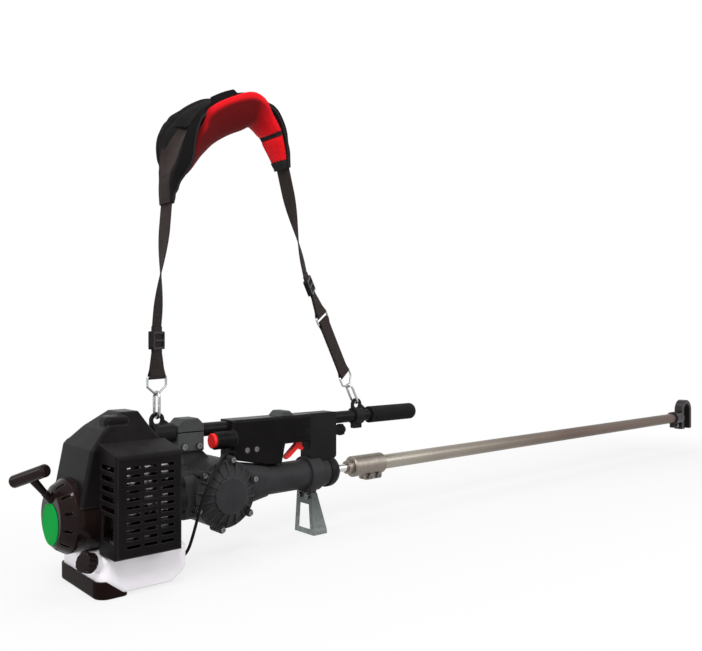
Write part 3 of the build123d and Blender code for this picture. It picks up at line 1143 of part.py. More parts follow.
def throttle_trigger():
    """Finger lever on its cross pin, curved down and back into the finger gap, with a short spur forwards."""
    (px, pz), (tx, tz) = TRIGGER_AT, TRIGGER_TIP
    half = TRIGGER_T / 2
    outline = [
        (px - 6, pz + 2), (px - 8, pz - 14), (tx + 2, tz + 6), (tx - 4, tz + 1), (tx, tz - 4), (tx + 8, tz),
        (px - 4, pz - 23), (px + 6, pz - 27), (px + 10, pz - 23), (px + 5, pz - 17), (px + 7, pz),
    ]
    blade = plate_y(outline, -half, half)
    blade += rod_y(TRIGGER_PIN_R + 4, -half, half, px, pz)
    return blade - rod_y(TRIGGER_PIN_R + RUN_FIT, -half, half, px, pz)


def vibration_damper():
    x0 = BRACKET_X[1]
    damper = rod_x(DAMPER_R, x0, x0 + DAMPER_LENGTH, 0, DAMPER_Z)
    waist = x0 + DAMPER_LENGTH * 0.7
    damper -= rod_x(DAMPER_R + 1, x0 + 8, waist, 0, DAMPER_Z) - rod_x(DAMPER_R - 1.5, x0 + 8, waist, 0, DAMPER_Z)
    for index in range(DAMPER_NOTCHES):
        turn = Pos(0, 0, DAMPER_Z) * Rot(360 / DAMPER_NOTCHES * index, 0, 0)
        damper -= turn * rod_x(2.0, waist, x0 + DAMPER_LENGTH, 0, DAMPER_R + 0.4)
    return damper + rod_x(DAMPER_R * 0.45, x0 + DAMPER_LENGTH, x0 + DAMPER_LENGTH + 6, 0, DAMPER_Z)


def cable_radii():
    """Largest bend at each point of the cable's route."""
    points = [Vector(*point) for point in CABLE_POINTS]
    radii = []
    for before, here, after in zip(points, points[1:], points[2:]):
        turn = math.radians((here - before).get_angle(after - here))
        radii.append(0.45 * min((here - before).length, (after - here).length) / math.tan(turn / 2))
    return radii


def throttle_cable():
    radii = cable_radii()
    path = FilletPolyline(*CABLE_POINTS, radius=radii)
    start = Plane(origin=path @ 0, z_dir=path % 0)
    cable = sweep(start * Circle(CABLE_R), path=path)
    share = cable.volume / (math.pi * CABLE_R ** 2 * path.length)
    print(f"throttle cable: length {path.length:.1f}, least bend {min(radii):.1f}, volume share {share:.4f}")
    return cable


# Front stand

def stand_outline(inset, z0, z1):
    """Sloping-sided outline of the stand's web in Y and Z."""
    def half(z):
        return (STAND_FOOT_W + (STAND_TOP_W - STAND_FOOT_W) * z / STAND_TOP_Z) / 2 - inset
    return [(STAND_Y - half(z0), z0), (STAND_Y + half(z0), z0), (STAND_Y + half(z1), z1), (STAND_Y - half(z1), z1)]


def front_stand():
    """Plated sheet folded to a channel: a web with a window, a deep near flange and a narrow far one."""
    web = plate_x(stand_outline(0, 0, STAND_TOP_Z), STAND_X, STAND_X + STAND_DEPTH)
    web -= plate_x(stand_outline(STAND_SHEET, 0, STAND_TOP_Z), STAND_X + STAND_SHEET, STAND_X + STAND_DEPTH)
    taper = [
        (STAND_X + STAND_DEPTH, STAND_SHEET * 4), (STAND_X + STAND_DEPTH + 1, STAND_SHEET * 4),
        (STAND_X + STAND_DEPTH + 1, STAND_TOP_Z), (STAND_X + STAND_DEPTH * 0.4, STAND_TOP_Z),
    ]
    web -= plate_y(taper, STAND_Y - STAND_FOOT_W, STAND_Y + STAND_FOOT_W)
    web -= plate_x(stand_outline(11, 10, 57), STAND_X, STAND_X + STAND_SHEET)
    web -= block(STAND_X + 8, STAND_X + STAND_DEPTH, STAND_Y + 8, STAND_Y + STAND_FOOT_W, 0, STAND_TOP_Z)
    for y in STAND_BOLTS:
        web -= rod_x(M6_R + SEAT_FIT, STAND_X, STAND_X + STAND_SHEET, y, STAND_BOLT_Z)
    return web


STAND_BOLTS = (STAND_Y - STAND_BOLT_STEP / 2, STAND_Y + STAND_BOLT_STEP / 2)


def stand_clamp():
    """Split ring on the barrel with a lug that the stand is bolted to."""
    x0 = STAND_X + STAND_SHEET
    x1 = STAND_X + 4 + STAND_RING_LENGTH
    half = STAND_TOP_W / 2 - STAND_SHEET - 1.5
    ring = rod_x(STAND_RING_R, x0, x1, 0, AXIS_Z)
    ring += block(x0, x0 + 12, STAND_Y - half, STAND_Y + half, STAND_BOLT_Z - 8, AXIS_Z - 10)
    ring -= rod_x(BARREL_R + SEAT_FIT, x0, x1, 0, AXIS_Z)
    for y in STAND_BOLTS:
        ring -= rod_x(M6_R + SEAT_FIT, x0, x0 + 12, y, STAND_BOLT_Z)
    return ring


def m6_bolts():
    bolts = [screw_at((STAND_X, y, STAND_BOLT_Z), (-1, 0, 0), M6_R, M6_HEAD_R, M6_HEAD, M6_LENGTH)
             for y in STAND_BOLTS]
    bolts += [screw_at(place, (0, -1, 0), M6_R, M6_HEAD_R, M6_HEAD, M6_LENGTH) for place in CLAMP_BOLTS]
    return group(bolts)


def m5_screws():
    face = GEARBOX_Y[0] - COVER_PLATE_T
    screws = [screw_at((x, face, z), (0, -1, 0), M5_R, M5_HEAD_R, M5_HEAD, M5_LENGTH)
              for x, z in ring_points(COVER_BOLTS, BOLT_RING, 20)]
    screws += [screw_at((x, M5_HEAD - HANDLE_HALF_Y, z), (0, -1, 0), M5_R, M5_HEAD_R, M5_HEAD, M5_LENGTH)
               for x, z in HANDLE_SCREWS]
    return group(screws)


# Harness

SNAP_TOP = HOOK_LOW + 2 * HOOK_BEND + HOOK_SPAN
RING_LOW = SNAP_TOP - WIRE_R - RING_WIRE_R - SEAT_FIT
RING_BAR = RING_LOW + RING_HEIGHT - RING_APEX_BEND
WEB_LOOP_R = RING_WIRE_R + 0.1


def snap_hook():
    """Long wire loop in the Y Z plane, with the middle of the eyelet's hole at the origin."""
    centre = HOOK_LOW + HOOK_BEND
    reach = HOOK_BEND + WIRE_R + 1
    ring = Rot(0, 90, 0) * Torus(HOOK_BEND, WIRE_R)
    lower = ring & block(-reach, reach, -reach, reach, -reach, 0)
    upper = ring & block(-reach, reach, -reach, reach, 0, reach)
    hook = Pos(0, 0, centre) * lower + Pos(0, 0, centre + HOOK_SPAN) * upper
    for side in (-1, 1):
        hook += rod_z(WIRE_R, centre, centre + HOOK_SPAN, 0, side * HOOK_BEND)
    return hook


def closed_wire(points, bends, radius):
    path = FilletPolyline(*points, radius=bends, close=True)
    return sweep(Plane(origin=path @ 0, z_dir=path % 0) * Circle(radius), path=path)


def strap_ring():
    """Five-sided wire ring that hangs in the snap hook's upper bend and carries the strap on its bar."""
    shoulder = RING_BAR - RING_SIDE
    corner = RING_LOW
    for _ in range(30):
        side = math.atan2(shoulder - corner, RING_HALF)
        corner = RING_LOW - RING_APEX_BEND * (1 / math.cos(side) - 1)
    points = [(0, 0, corner), (RING_HALF, 0, shoulder), (RING_HALF, 0, RING_BAR), (-RING_HALF, 0, RING_BAR),
              (-RING_HALF, 0, shoulder)]
    return closed_wire(points, [RING_APEX_BEND] + [RING_CORNER_BEND] * 4, RING_WIRE_R)


def wire_link():
    """Flat wire loop that joins the two lengths of the front strap."""
    low, high = LINK_AT, LINK_AT + LINK_HEIGHT
    points = [(-RING_HALF, 0, low), (RING_HALF, 0, low), (RING_HALF, 0, high), (-RING_HALF, 0, high)]
    return closed_wire(points, [RING_CORNER_BEND] * 4, RING_WIRE_R)


def at_rear(piece, yaw=0):
    return Pos(EYELET_X[0], 0, EYELET_Z) * Rot(0, 0, yaw) * piece


def at_front(piece, yaw=0):
    return Pos(EYELET_X[1], 0, EYELET_Z) * Rot(0, -FRONT_LEAN, 0) * Rot(0, 0, yaw) * piece


def snap_hooks():
    return group([at_rear(snap_hook()), at_front(snap_hook())])


def strap_rings():
    front = strap_ring()
    return group([at_rear(strap_ring(), RING_YAW), at_front(front, RING_YAW), at_front(wire_link(), RING_YAW)])


def web_loop(height):
    """Fold of the strap round a bar at the given height."""
    half = WEB_WIDTH / 2
    return rod_x(WEB_LOOP_R + WEB_THICK, -half, half, 0, height) - rod_x(WEB_LOOP_R, -half, half, 0, height)


def doubled_web(z0, z1, yaw0, yaw1):
    """Two layers of strap, sewn together, turned from one yaw to the other on the way up."""
    sections = []
    for share in (0.0, 0.5, 1.0):
        level = Pos(0, 0, z0 + (z1 - z0) * share) * Rot(0, 0, yaw0 + (yaw1 - yaw0) * share)
        sections.append(level * Rectangle(WEB_WIDTH, 2 * WEB_THICK))
    return loft(sections, ruled=True)


def slide_web(height, bar, end):
    """Strap from a bar to past its slide: a fold, a turning length and a straight length."""
    turn_end = height - SLIDE_H / 2 - TURN_END
    web = Rot(0, 0, RING_YAW) * web_loop(bar)
    web += doubled_web(bar + WEB_LOOP_R + WEB_THICK * 0.5, turn_end, RING_YAW, SLIDE_YAW)
    return web + doubled_web(turn_end, end, SLIDE_YAW, SLIDE_YAW)


def web_section(x, z, lean, twist, thick):
    aim = math.radians(lean)
    across = Plane(origin=(x, 0, z), x_dir=(math.cos(aim), 0, math.sin(aim)), z_dir=(-math.sin(aim), 0, math.cos(aim)))
    return across * Rot(0, 0, twist) * Rectangle(WEB_WIDTH, thick)


def web_run(start, end):
    """Strap that turns square to the pad on its way up, from X, Z and lean to X, Z and lean."""
    sections = []
    for share in (0.0, 0.15, 0.35, 0.55, 0.75, 1.0):
        twist = SLIDE_YAW + (90 - SLIDE_YAW) * min(1.0, max(0.0, (share - 0.15) / 0.6))
        x, z, lean = (start[axis] + (end[axis] - start[axis]) * share for axis in range(3))
        sections.append(web_section(x, z, lean, twist, WEB_THICK))
    return loft(sections, ruled=True)


def pad_end(index):
    """Where a strap meets the pad's end: X, Z and lean."""
    x, z, slope, _, thick, _, _ = PAD_LINE[index]
    out = math.radians(slope + 90)
    lean = slope - 90 if index == 0 else slope + 90
    return x + math.cos(out) * thick * 0.4, z + math.sin(out) * thick * 0.4, lean


def front_point(height):
    aim = math.radians(FRONT_LEAN)
    return EYELET_X[1] - height * math.sin(aim), EYELET_Z + height * math.cos(aim)


LINK_BAR = LINK_AT + LINK_HEIGHT
UPPER_BAR = front_point(LINK_BAR)
REAR_DOUBLE = REAR_SLIDE + SLIDE_H / 2 + 8
FRONT_DOUBLE = FRONT_SLIDE + SLIDE_H / 2 + 8


def at_link(piece, yaw=0):
    """Places a piece of the upper front strap, whose origin is the wire loop's upper bar."""
    return Pos(UPPER_BAR[0], 0, UPPER_BAR[1]) * Rot(0, -FRONT_LEAN, 0) * Rot(0, 0, yaw) * piece


def webbing():
    bar = WEB_LOOP_R + WEB_THICK * 0.5
    rear = at_rear(slide_web(REAR_SLIDE, RING_BAR, REAR_DOUBLE))
    rear += web_run((EYELET_X[0], EYELET_Z + REAR_DOUBLE, 0), pad_end(0))
    lower = web_loop(RING_BAR) + doubled_web(RING_BAR + bar, LINK_AT - bar, 0, 0) + web_loop(LINK_AT)
    upper = at_link(slide_web(FRONT_SLIDE, 0, FRONT_DOUBLE))
    begin = (*front_point(LINK_BAR + FRONT_DOUBLE), FRONT_LEAN)
    return group([rear, at_front(lower, RING_YAW), upper + web_run(begin, pad_end(-1))])


def strap_slide():
    """Plastic slide round the doubled strap, with two bars across its face."""
    half_h = SLIDE_H / 2
    slide = block(-SLIDE_HALF, SLIDE_HALF, -SLIDE_T / 2, SLIDE_T / 2, -half_h, half_h)
    slide = fillet(slide.edges().filter_by(Axis.Y), 3)
    window = block(-SLIDE_HALF + 6, SLIDE_HALF - 6, -SLIDE_T, 0, 1.5, half_h - 4)
    slide -= window + mirror(window, Plane.XY)
    room = WEB_THICK + SEAT_FIT
    side = WEB_WIDTH / 2 + SEAT_FIT
    return slide - block(-side, side, -room, room, -half_h, half_h)


def strap_slides():
    rear = at_rear(Pos(0, 0, REAR_SLIDE) * strap_slide(), SLIDE_YAW)
    return group([rear, at_link(Pos(0, 0, FRONT_SLIDE) * strap_slide(), SLIDE_YAW)])


def pad_plane(x, z, slope):
    """Plane across the pad's line: its own X is the model's Y and its own Y points outwards."""
    aim = math.radians(slope)
    return Plane(origin=(x, 0, z), x_dir=(0, 1, 0), z_dir=(math.cos(aim), 0, math.sin(aim)))


def cushion(half, low, high):
    """Section between two arcs, each given by its height at the edges and in the middle."""
    lower = ThreePointArc((-half, low[0]), (0, low[1]), (half, low[0]))
    upper = ThreePointArc((half, high[0]), (0, high[1]), (-half, high[0]))
    return make_face([lower, Line(lower @ 1, upper @ 0), upper, Line(upper @ 1, lower @ 0)])


def curl_at(share, curl):
    """Outward offset of the seam between pad and lining, at a share of the half width."""
    return curl * (share ** 2 - 1 / 3)


def shoulder_pad():
    """Saddle-shaped black pad: its edges curl outwards."""
    sections = []
    for x, z, slope, width, thick, _, curl in PAD_LINE:
        edge, middle = curl_at(1, curl), curl_at(0, curl)
        flat = cushion(width / 2, (edge, middle), (edge + thick * PAD_EDGE, middle + thick))
        sections.append(pad_plane(x, z, slope) * flat)
    return loft(sections)


def pad_lining():
    """Full red cushion under the pad, cut to the pad's underside."""
    sections = []
    for x, z, slope, width, thick, inside, curl in PAD_LINE:
        half = width / 2 - LINING_MARGIN
        edge, middle = curl_at(2 * half / width, curl), curl_at(0, curl)
        flat = cushion(half, (edge - inside * LINING_EDGE, middle - inside),
                       (edge + thick * PAD_EDGE * 0.5, middle + thick * 0.3))
        sections.append(pad_plane(x, z, slope) * flat)
    cut = loft(sections) - shoulder_pad()
    return cut.solids().sort_by(SortBy.VOLUME)[-1]


nodes = {
    "crankcase": crankcase, "cylinder": cylinder, "spark_plug": spark_plug, "plug_cap": plug_cap,
    "crankshaft": crankshaft, "clutch_shoes": clutch_shoes, "flywheel": flywheel, "piston": piston,
    "connecting_rod": connecting_rod, "fan_housing": fan_housing, "starter_cover": starter_cover,
    "starter_pulley": starter_pulley, "starter_rope": starter_rope, "starter_handle": starter_handle,
    "engine_cover": engine_cover, "muffler_guard": muffler_guard, "muffler": muffler, "fuel_tank": fuel_tank,
    "fuel_cap": fuel_cap, "tank_stand": tank_stand, "carburettor": carburettor,
    "throttle_lever": throttle_lever, "choke_lever": choke_lever, "air_filter_cover": air_filter_cover,
    "clutch_drum": clutch_drum, "crank_gear": crank_gear, "bearings": bearings,
    "clutch_housing": clutch_housing, "gear_case": gear_case, "gear_case_cover": gear_case_cover,
    "yoke": yoke, "slider_rod": slider_rod, "guide_bushes": guide_bushes, "nose_cap": nose_cap,
    "pole_connector": pole_connector, "pole": pole, "branch_hook": branch_hook, "hook_pads": hook_pads,
    "pole_bolts": pole_bolts, "frame_tube": frame_tube, "tube_clamps": tube_clamps,
    "strap_eyelets": strap_eyelets, "front_grip": front_grip, "front_bracket": front_bracket,
    "handle_shell_near": lambda: handle_half(-1), "handle_shell_far": lambda: handle_half(1),
    "stop_button": stop_button, "throttle_trigger": throttle_trigger, "vibration_damper": vibration_damper,
    "throttle_cable": throttle_cable, "front_stand": front_stand, "stand_clamp": stand_clamp,
    "m6_bolts": m6_bolts, "m5_screws": m5_screws, "snap_hooks": snap_hooks, "strap_rings": strap_rings,
    "webbing": webbing, "strap_slides": strap_slides, "shoulder_pad": shoulder_pad, "pad_lining": pad_lining,
}

os.makedirs("parts", exist_ok=True)
for name, make in nodes.items():
    export_step(make(), f"parts/{name}.step")
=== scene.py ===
"""Petrol branch shaker for olives, dressed for rendering.

Run as a script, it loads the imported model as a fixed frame, gives every part its finish and adds the pieces
that are soft, woven or knurled: the throttle cable, the starter rope, the badge, the front grip, the shoulder
pad and the straps.
"""

import math

import bmesh
import bpy
import numpy as np
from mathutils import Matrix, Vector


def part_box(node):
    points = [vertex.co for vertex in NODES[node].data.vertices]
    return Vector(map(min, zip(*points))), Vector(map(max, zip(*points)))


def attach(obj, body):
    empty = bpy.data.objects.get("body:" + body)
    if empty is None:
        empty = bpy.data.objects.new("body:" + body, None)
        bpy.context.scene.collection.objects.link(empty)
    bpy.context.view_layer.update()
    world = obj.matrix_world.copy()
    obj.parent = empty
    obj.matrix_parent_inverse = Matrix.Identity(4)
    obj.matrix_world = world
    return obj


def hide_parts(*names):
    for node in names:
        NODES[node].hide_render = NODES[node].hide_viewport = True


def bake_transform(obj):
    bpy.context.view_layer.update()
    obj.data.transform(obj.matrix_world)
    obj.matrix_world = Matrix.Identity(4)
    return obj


bl_info = {
    "name": "Olive branch shaker",
    "version": (1, 0, 0),
    "blender": (4, 5, 0),
    "location": "3D View > Sidebar > Shaker",
    "description": "Finishes, harness, cable and studio stage for the petrol branch shaker",
    "category": "Object",
}

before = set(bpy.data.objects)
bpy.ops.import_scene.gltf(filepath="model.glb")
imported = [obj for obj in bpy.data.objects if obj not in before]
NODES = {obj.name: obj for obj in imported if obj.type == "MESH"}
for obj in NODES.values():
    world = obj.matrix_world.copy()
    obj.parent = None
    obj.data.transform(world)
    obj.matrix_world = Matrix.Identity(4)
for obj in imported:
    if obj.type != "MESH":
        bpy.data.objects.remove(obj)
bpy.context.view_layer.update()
MM = 0.001
X_AXIS, Y_AXIS = np.eye(3)[:2]

# Stage: the picture's viewpoint, and the name, place, target, diameter and power of each lamp
CAMERA_PLACE = (-0.4595, -1.1484, 0.3755)
CAMERA_AIM = (0.6574, 0.7536)
CAMERA_LENS, CAMERA_SENSOR, CAMERA_SHIFT = 38.46, 36.0, 0.0164
LAMPS = (
    ("key_softbox", (-1.0, -1.7, 2.2), (0.3, 0.0, 0.3), 1.2, 56),
    ("fill_softbox", (2.0, -2.2, 1.5), (0.7, 0.0, 0.2), 1.6, 28),
    ("top_softbox", (0.7, 0.4, 2.6), (0.7, 0.0, 0.1), 1.8, 30),
    ("rear_strip", (-1.6, 0.9, 0.9), (0.1, 0.0, 0.2), 0.7, 6),
    ("engine_spot", (-0.84, -0.24, 1.4), (-0.06, -0.07, 0.12), 0.12, 4),
    ("left_strip", (-1.5, -0.62, 0.45), (0.0, -0.05, 0.2), 0.3, 6),
)
WHITE, FLOOR_GREY = (1, 1, 1, 1), (0.62, 0.62, 0.62, 1)
FLOOR_REACH = 30.0
FLOOR_MIDDLE, FLOOR_HALF = 0.9, 0.95      # stretch of floor along the machine
FLOOR_FADE = (0.10, 0.60, 0.80, 1.0)      # two distances off that stretch, and the share of white at each
SURROUND_LIGHT = 0.30

# Throttle cable's route from the handle, down past the gear case and up to the carburettor
CABLE_ROUTE = np.array([
    (256, -14, 171), (241, -30, 176), (218, -50, 179), (189, -74, 168), (172, -84, 152),
    (159, -86, 130), (147, -86, 101), (139, -82, 66), (133, -72, 31), (130, -50, 17),
    (128, -18, 15), (126, 13, 27), (121, 36, 53), (112, 48, 84), (102, 50, 116),
    (95, 47, 147), (90, 43, 174), (79, 39, 193), (62, 37, 203),
]) * MM
# Boot and ferrule: distance along the cable, and radius as a multiple of the cable's own
BOOT = ((0.0, 1), (0.0, 1.9), (0.004, 2.0), (0.007, 1.5), (0.0085, 1.75), (0.011, 1.4),
        (0.0125, 1.6), (0.015, 1.25), (0.0165, 1.4), (0.020, 1.1), (0.020, 1))
FERRULE = ((0.006, 1), (0.006, 1.35), (0.007, 1.5), (0.017, 1.5), (0.018, 1.3), (0.018, 1))

# Starter: where the rope comes out, its direction, distances of its route, what shows of it, the part that is
# drawn out and where the rest begins, one turn of its twist, its strands, their dips and the end of its blend
ROPE_EXIT = np.array((-75, -40, 143)) * MM
PULL_LEAN = math.radians(38)
PULL = np.array((-math.sin(PULL_LEAN), 0.0, math.cos(PULL_LEAN)))
ROPE_ROUTE = np.array((-0.008, 0.006, 0.020, 0.033))
ROPE_SHOWN, ROPE_STRETCH, ROPE_REST, ROPE_TWIST = 0.041, 0.017, 0.0175, 0.011
ROPE_STRANDS, ROPE_DIP, ROPE_BLEND = 3, 0.20, 0.009
# Badge: its middle, how far it is sunk, and its dome as height, share of the radius and a set-back from it
BADGE_AT = np.array((-72, -40, 103.5)) * MM
BADGE_SINK = 0.0004
BADGE_DOME = ((0.0, 1, 0.0), (0.0012, 1, 0.0), (0.0018, 1, 0.0005), (0.0020, 1, 0.0012), (0.0017, 1, 0.0020),
              (0.0018, 1, 0.0028), (0.0023, 0.6, 0.0), (0.0025, 0.3, 0.0), (0.0026, 0, -0.0001))

# Front grip: share of its radius that rounds its end, its wall, the radius of its tip, its groove and its
# knurl, which begins after the groove and ends beside the start of the rounding
GRIP_ROUND, GRIP_WALL, GRIP_TIP, GRIP_SIDES = 0.55, 0.0046, 0.002, 120
GROOVE_AT, GROOVE_HALF, GROOVE_DEEP = 0.0095, 0.0014, 0.0015
KNURL_START, KNURL_END = (0.012, 0.0145), (0.001, -0.003)
KNURL_TURNS, KNURL_SLANT, KNURL_DEEP = 30, 900, 0.0007

# Harness: eyelets, lean of the front strap, heights along each strap from its eyelet, and how far the straps
# are turned about their own length at the rings and at the slides
REAR_EYE = np.array((115, 0, 238)) * MM
FRONT_EYE = np.array((556, 0, 238)) * MM
FRONT_LEAN = math.radians(27)
RING_BAR = 71.88 * MM
LINK_LOW, LINK_HIGH = 190 * MM, 204 * MM
REAR_TURN, REAR_DOUBLE = 111 * MM, 155 * MM
FRONT_TURN, FRONT_DOUBLE = LINK_HIGH + 41 * MM, LINK_HIGH + 85 * MM
RING_YAW, SLIDE_YAW = math.radians(24), math.radians(42)
BAR_LOOP, BAR_REACH = 2.1 * MM, 8 * MM    # opening round a bar, and how far along the strap it closes
LAYER_GAP, THREAD_LIFT = 0.0001, 0.0002   # half the gap between two layers, and stitches over the cloth
SEWN_FROM, SEWN_TO, SEWN_INSET = 0.016, 0.034, 0.003   # sewn patch above a bar
RUN_LAP, RUN_SINK, RUN_TURN = 0.010, 0.4, (0.10, 0.80)   # single layer: lap, end in the pad, share that turns
STRAP_PITCH, STRAP_THREAD = 0.0046, 0.0004

# Shoulder pad over the shoulder: X, Z, width, thickness of the black pad and of the red lining, and the rise
# of its sides over its middle
PAD_STATIONS = np.array([
    (135, 598, 44, 6, 5, 1), (137, 634, 48, 9, 10, 3), (152, 670, 74, 14, 21, 12),
    (169, 708, 84, 16, 27, 22), (195, 743, 88, 16, 31, 27), (232, 771, 88, 13, 33, 28),
    (274, 788, 86, 11, 32, 25), (311, 785, 82, 11, 24, 15), (340, 762, 76, 10, 18, 7),
    (358, 728, 64, 9, 12, 3), (370, 690, 46, 6, 5, 1),
]) * MM
# Shares of the pad's length between which each feature comes in, and between which it goes out
ROLL_SPAN = (0.36, 0.42), (0.76, 0.67)
WRAP_SPAN = (0.02, 0.07), (0.44, 0.12)
CREST_SPAN = (0.440, 0.448), (0.556, 0.544)
FAR_SPAN = (0.12, 0.30), (0.64, 0.50)
QUILT_SPAN = (0.10, 0.20), (0.97, 0.88)
PANEL_SPAN = (0.12, 0.17)
# Quilting of the black pad: its channel beside each edge and its cross seams
CHANNEL_AT, CHANNEL_HALF, CHANNEL_DEEP = 0.0325, 0.0022, 0.0020
CROSS_AT, CROSS_HALF, CROSS_DEEP, CROSS_FROM = (0.18, 0.36, 0.70), 0.012, 0.0016, 0.0295
# Its outside: share of the thickness at its edges, what the crest's band adds there, power of the curve
# between, step of that band and where across the pad it ends, lift of the far side and where that rises
EDGE_SHARE, CREST_FULL, CROWN_POWER = 0.5, 0.45, 2.4
CREST_STEP, CREST_SIDE, FAR_LIFT, FAR_SIDE = 0.0035, (0.30, 0.22), 0.012, (0.10, 0.80)
# Black side wall: its narrowing beside the roll, its hem, its share of the lining on the rear arm, the tuck
# of its lower edge, and the gap at the seam
ROLL_NARROW, HEM_DEEP, WRAP_DEEP, WALL_TUCK, SEAM_GAP = 0.14, 0.001, 0.96, 0.003, 0.0005
# Red cushion: set-back from the pad's edge, what the roll gets back of it and where the roll's edge rises,
# its run along the pad, its depth at the sides and what the middle adds, powers of its oval and what the roll
# adds below, where it is drawn in and puckered, and its front peak
CUSHION_INSET, CUSHION_ROLL, ROLL_EDGE = 0.0045, 0.0035, (0.70, 0.88)
CUSHION_RUN, BELLY_SIDE, BELLY_FULL = (0.010, 0.990), 0.80, 0.20
OVAL, OVAL_WIDE, OVAL_LOW, DRAWN_DEEP = 0.55, 0.25, 0.35, 0.38
DRAWN_AT, DRAWN_HALF = (0.0, 0.838, 1.0), 0.016
PUCKER_AT, PUCKER_HALF, PUCKER_COUNT, PUCKER_DEEP = (0.06, 0.80, 0.88, 0.95), 0.045, 11, 0.0005
PEAK_AT, PEAK_HALF, PEAK_LIFT = 0.635, 0.065, 0.009
BANDS = (("front", 0.838, 0.004), ("rear_end", 0.025, 0.010), ("front_end", 0.980, 0.008))
BAND_OUT, BAND_IN, BAND_TURN = 0.0014, -0.0006, (0.97, 2.03)   # faces off the cushion, half turns round it
BINDING_IN, BINDING_UP = 0.0012, 0.001    # bound edge: set-back from the side wall and from the hem
# Strap sewn up the rear arm: its end, how much wider it becomes, its height and how far in it follows the pad
PANEL_END, PANEL_FLARE, PANEL_RISE, PANEL_FOLLOW = 0.345, 0.50, 0.0006, 0.9
# Seams: across the strap and the crest's band, how far across that band, set-back from the strap's edge, the
# thread's height over it, set-back from the pad's edge, and the run along that
PANEL_SEAMS, CREST_SEAMS, CREST_RUN = (0.02, 0.12, 0.19, 0.335), (0.452, 0.540), (-0.9, 0.15)
PANEL_INSET, PANEL_THREAD, EDGE_INSET, EDGE_RUN = 0.0025, 0.0008, 0.0065, (0.14, 0.94)
PAD_PITCH, PAD_THREAD = 1.45, 0.00042     # pitch as a multiple of a stitch's length, thread's radius
NO_SEAM = (0.37, 0.91, 0.17)              # direction that no seam runs along


def size_field(name, description, default):
    return bpy.props.FloatProperty(name=name, description=description, default=default, unit="LENGTH")


def colour_field(name, description, *default):
    return bpy.props.FloatVectorProperty(name=name, description=description, default=default, subtype="COLOR")


class ShakerSizes(bpy.types.PropertyGroup):
    """Sizes of the added pieces."""

    cable: size_field("Cable", "Outside diameter of the throttle cable", 0.005)
    rope: size_field("Rope", "Diameter of the starter rope", 0.0036)
    badge: size_field("Badge", "Diameter of the round badge", 0.062)
    web_width: size_field("Strap width", "Width of the webbing", 0.038)
    web_thick: size_field("Strap thickness", "Thickness of one layer of webbing", 0.0022)
    binding: size_field("Binding", "Radius of the bound edge of the pad", 0.0022)
    stitch: size_field("Stitch", "Length of one stitch", 0.0032)


class ShakerColours(bpy.types.PropertyGroup):
    """Colours of the finishes, in linear values."""

    moulded_black: colour_field("Moulded black", "Covers and housings", 0.0064, 0.0056, 0.0058)
    brown_black: colour_field("Brown black", "Starter cover and fuel cap", 0.0105, 0.0052, 0.0052)
    cast_black: colour_field("Cast black", "Painted castings", 0.0098, 0.0096, 0.0098)
    charcoal: colour_field("Charcoal", "Gear case and its cover", 0.0290, 0.0280, 0.0300)
    cast_grey: colour_field("Cast grey", "Tube clamps", 0.0500, 0.0530, 0.0530)
    tank_white: colour_field("Tank white", "Fuel tank", 0.86, 0.83, 0.87)
    signal_red: colour_field("Signal red", "Trigger and stop button", 0.80, 0.022, 0.020)
    badge_green: colour_field("Badge green", "Round badge", 0.0020, 0.26, 0.040)
    pole_beige: colour_field("Pole", "Drawn pole", 0.310, 0.284, 0.244)
    # painted shade: the pole's far half, darker and browner towards the hook
    pole_far_shade: colour_field("Pole far shade", "Painted shade on the far half of the pole", 0.152, 0.112, 0.091)
    hook_brown: colour_field("Hook", "Cast branch hook", 0.036, 0.029, 0.027)
    zinc: colour_field("Zinc", "Plated sheet of the stand", 0.21, 0.235, 0.225)
    pad_black: colour_field("Pad black", "Outer cloth of the pad", 0.0062, 0.0057, 0.0057)
    pad_red: colour_field("Pad red", "Mesh lining of the pad", 0.78, 0.006, 0.012)
    web_black: colour_field("Strap black", "Webbing", 0.0215, 0.0155, 0.0146)


# Shader nodes

FLOAT, VECTOR = "NodeSocketFloat", "NodeSocketVector"
RELIEF = {"Height": FLOAT, "Shade": FLOAT}
PAINT_DUST, CLOTH_DUST = (0.15, 0.14, 0.125, 1.0), (0.16, 0.15, 0.14, 1.0)
STAND_SHADE = (0.0, 0.075)                # heights between which painted shade darkens the stand upwards
POLE_SHADE = (0.66, 1.30)                 # painted shade: distances between which the pole darkens towards its far end
BELLY_SHADE_TURN, BELLY_SHADE_SPAN = (0.05, -0.24), (0.335, 0.290)   # painted shade on the cushion's underside: how far it faces down, and where along X
ARM_SHADE_SPAN = (0.200, 0.178)                 # and painted shade over its rear arm
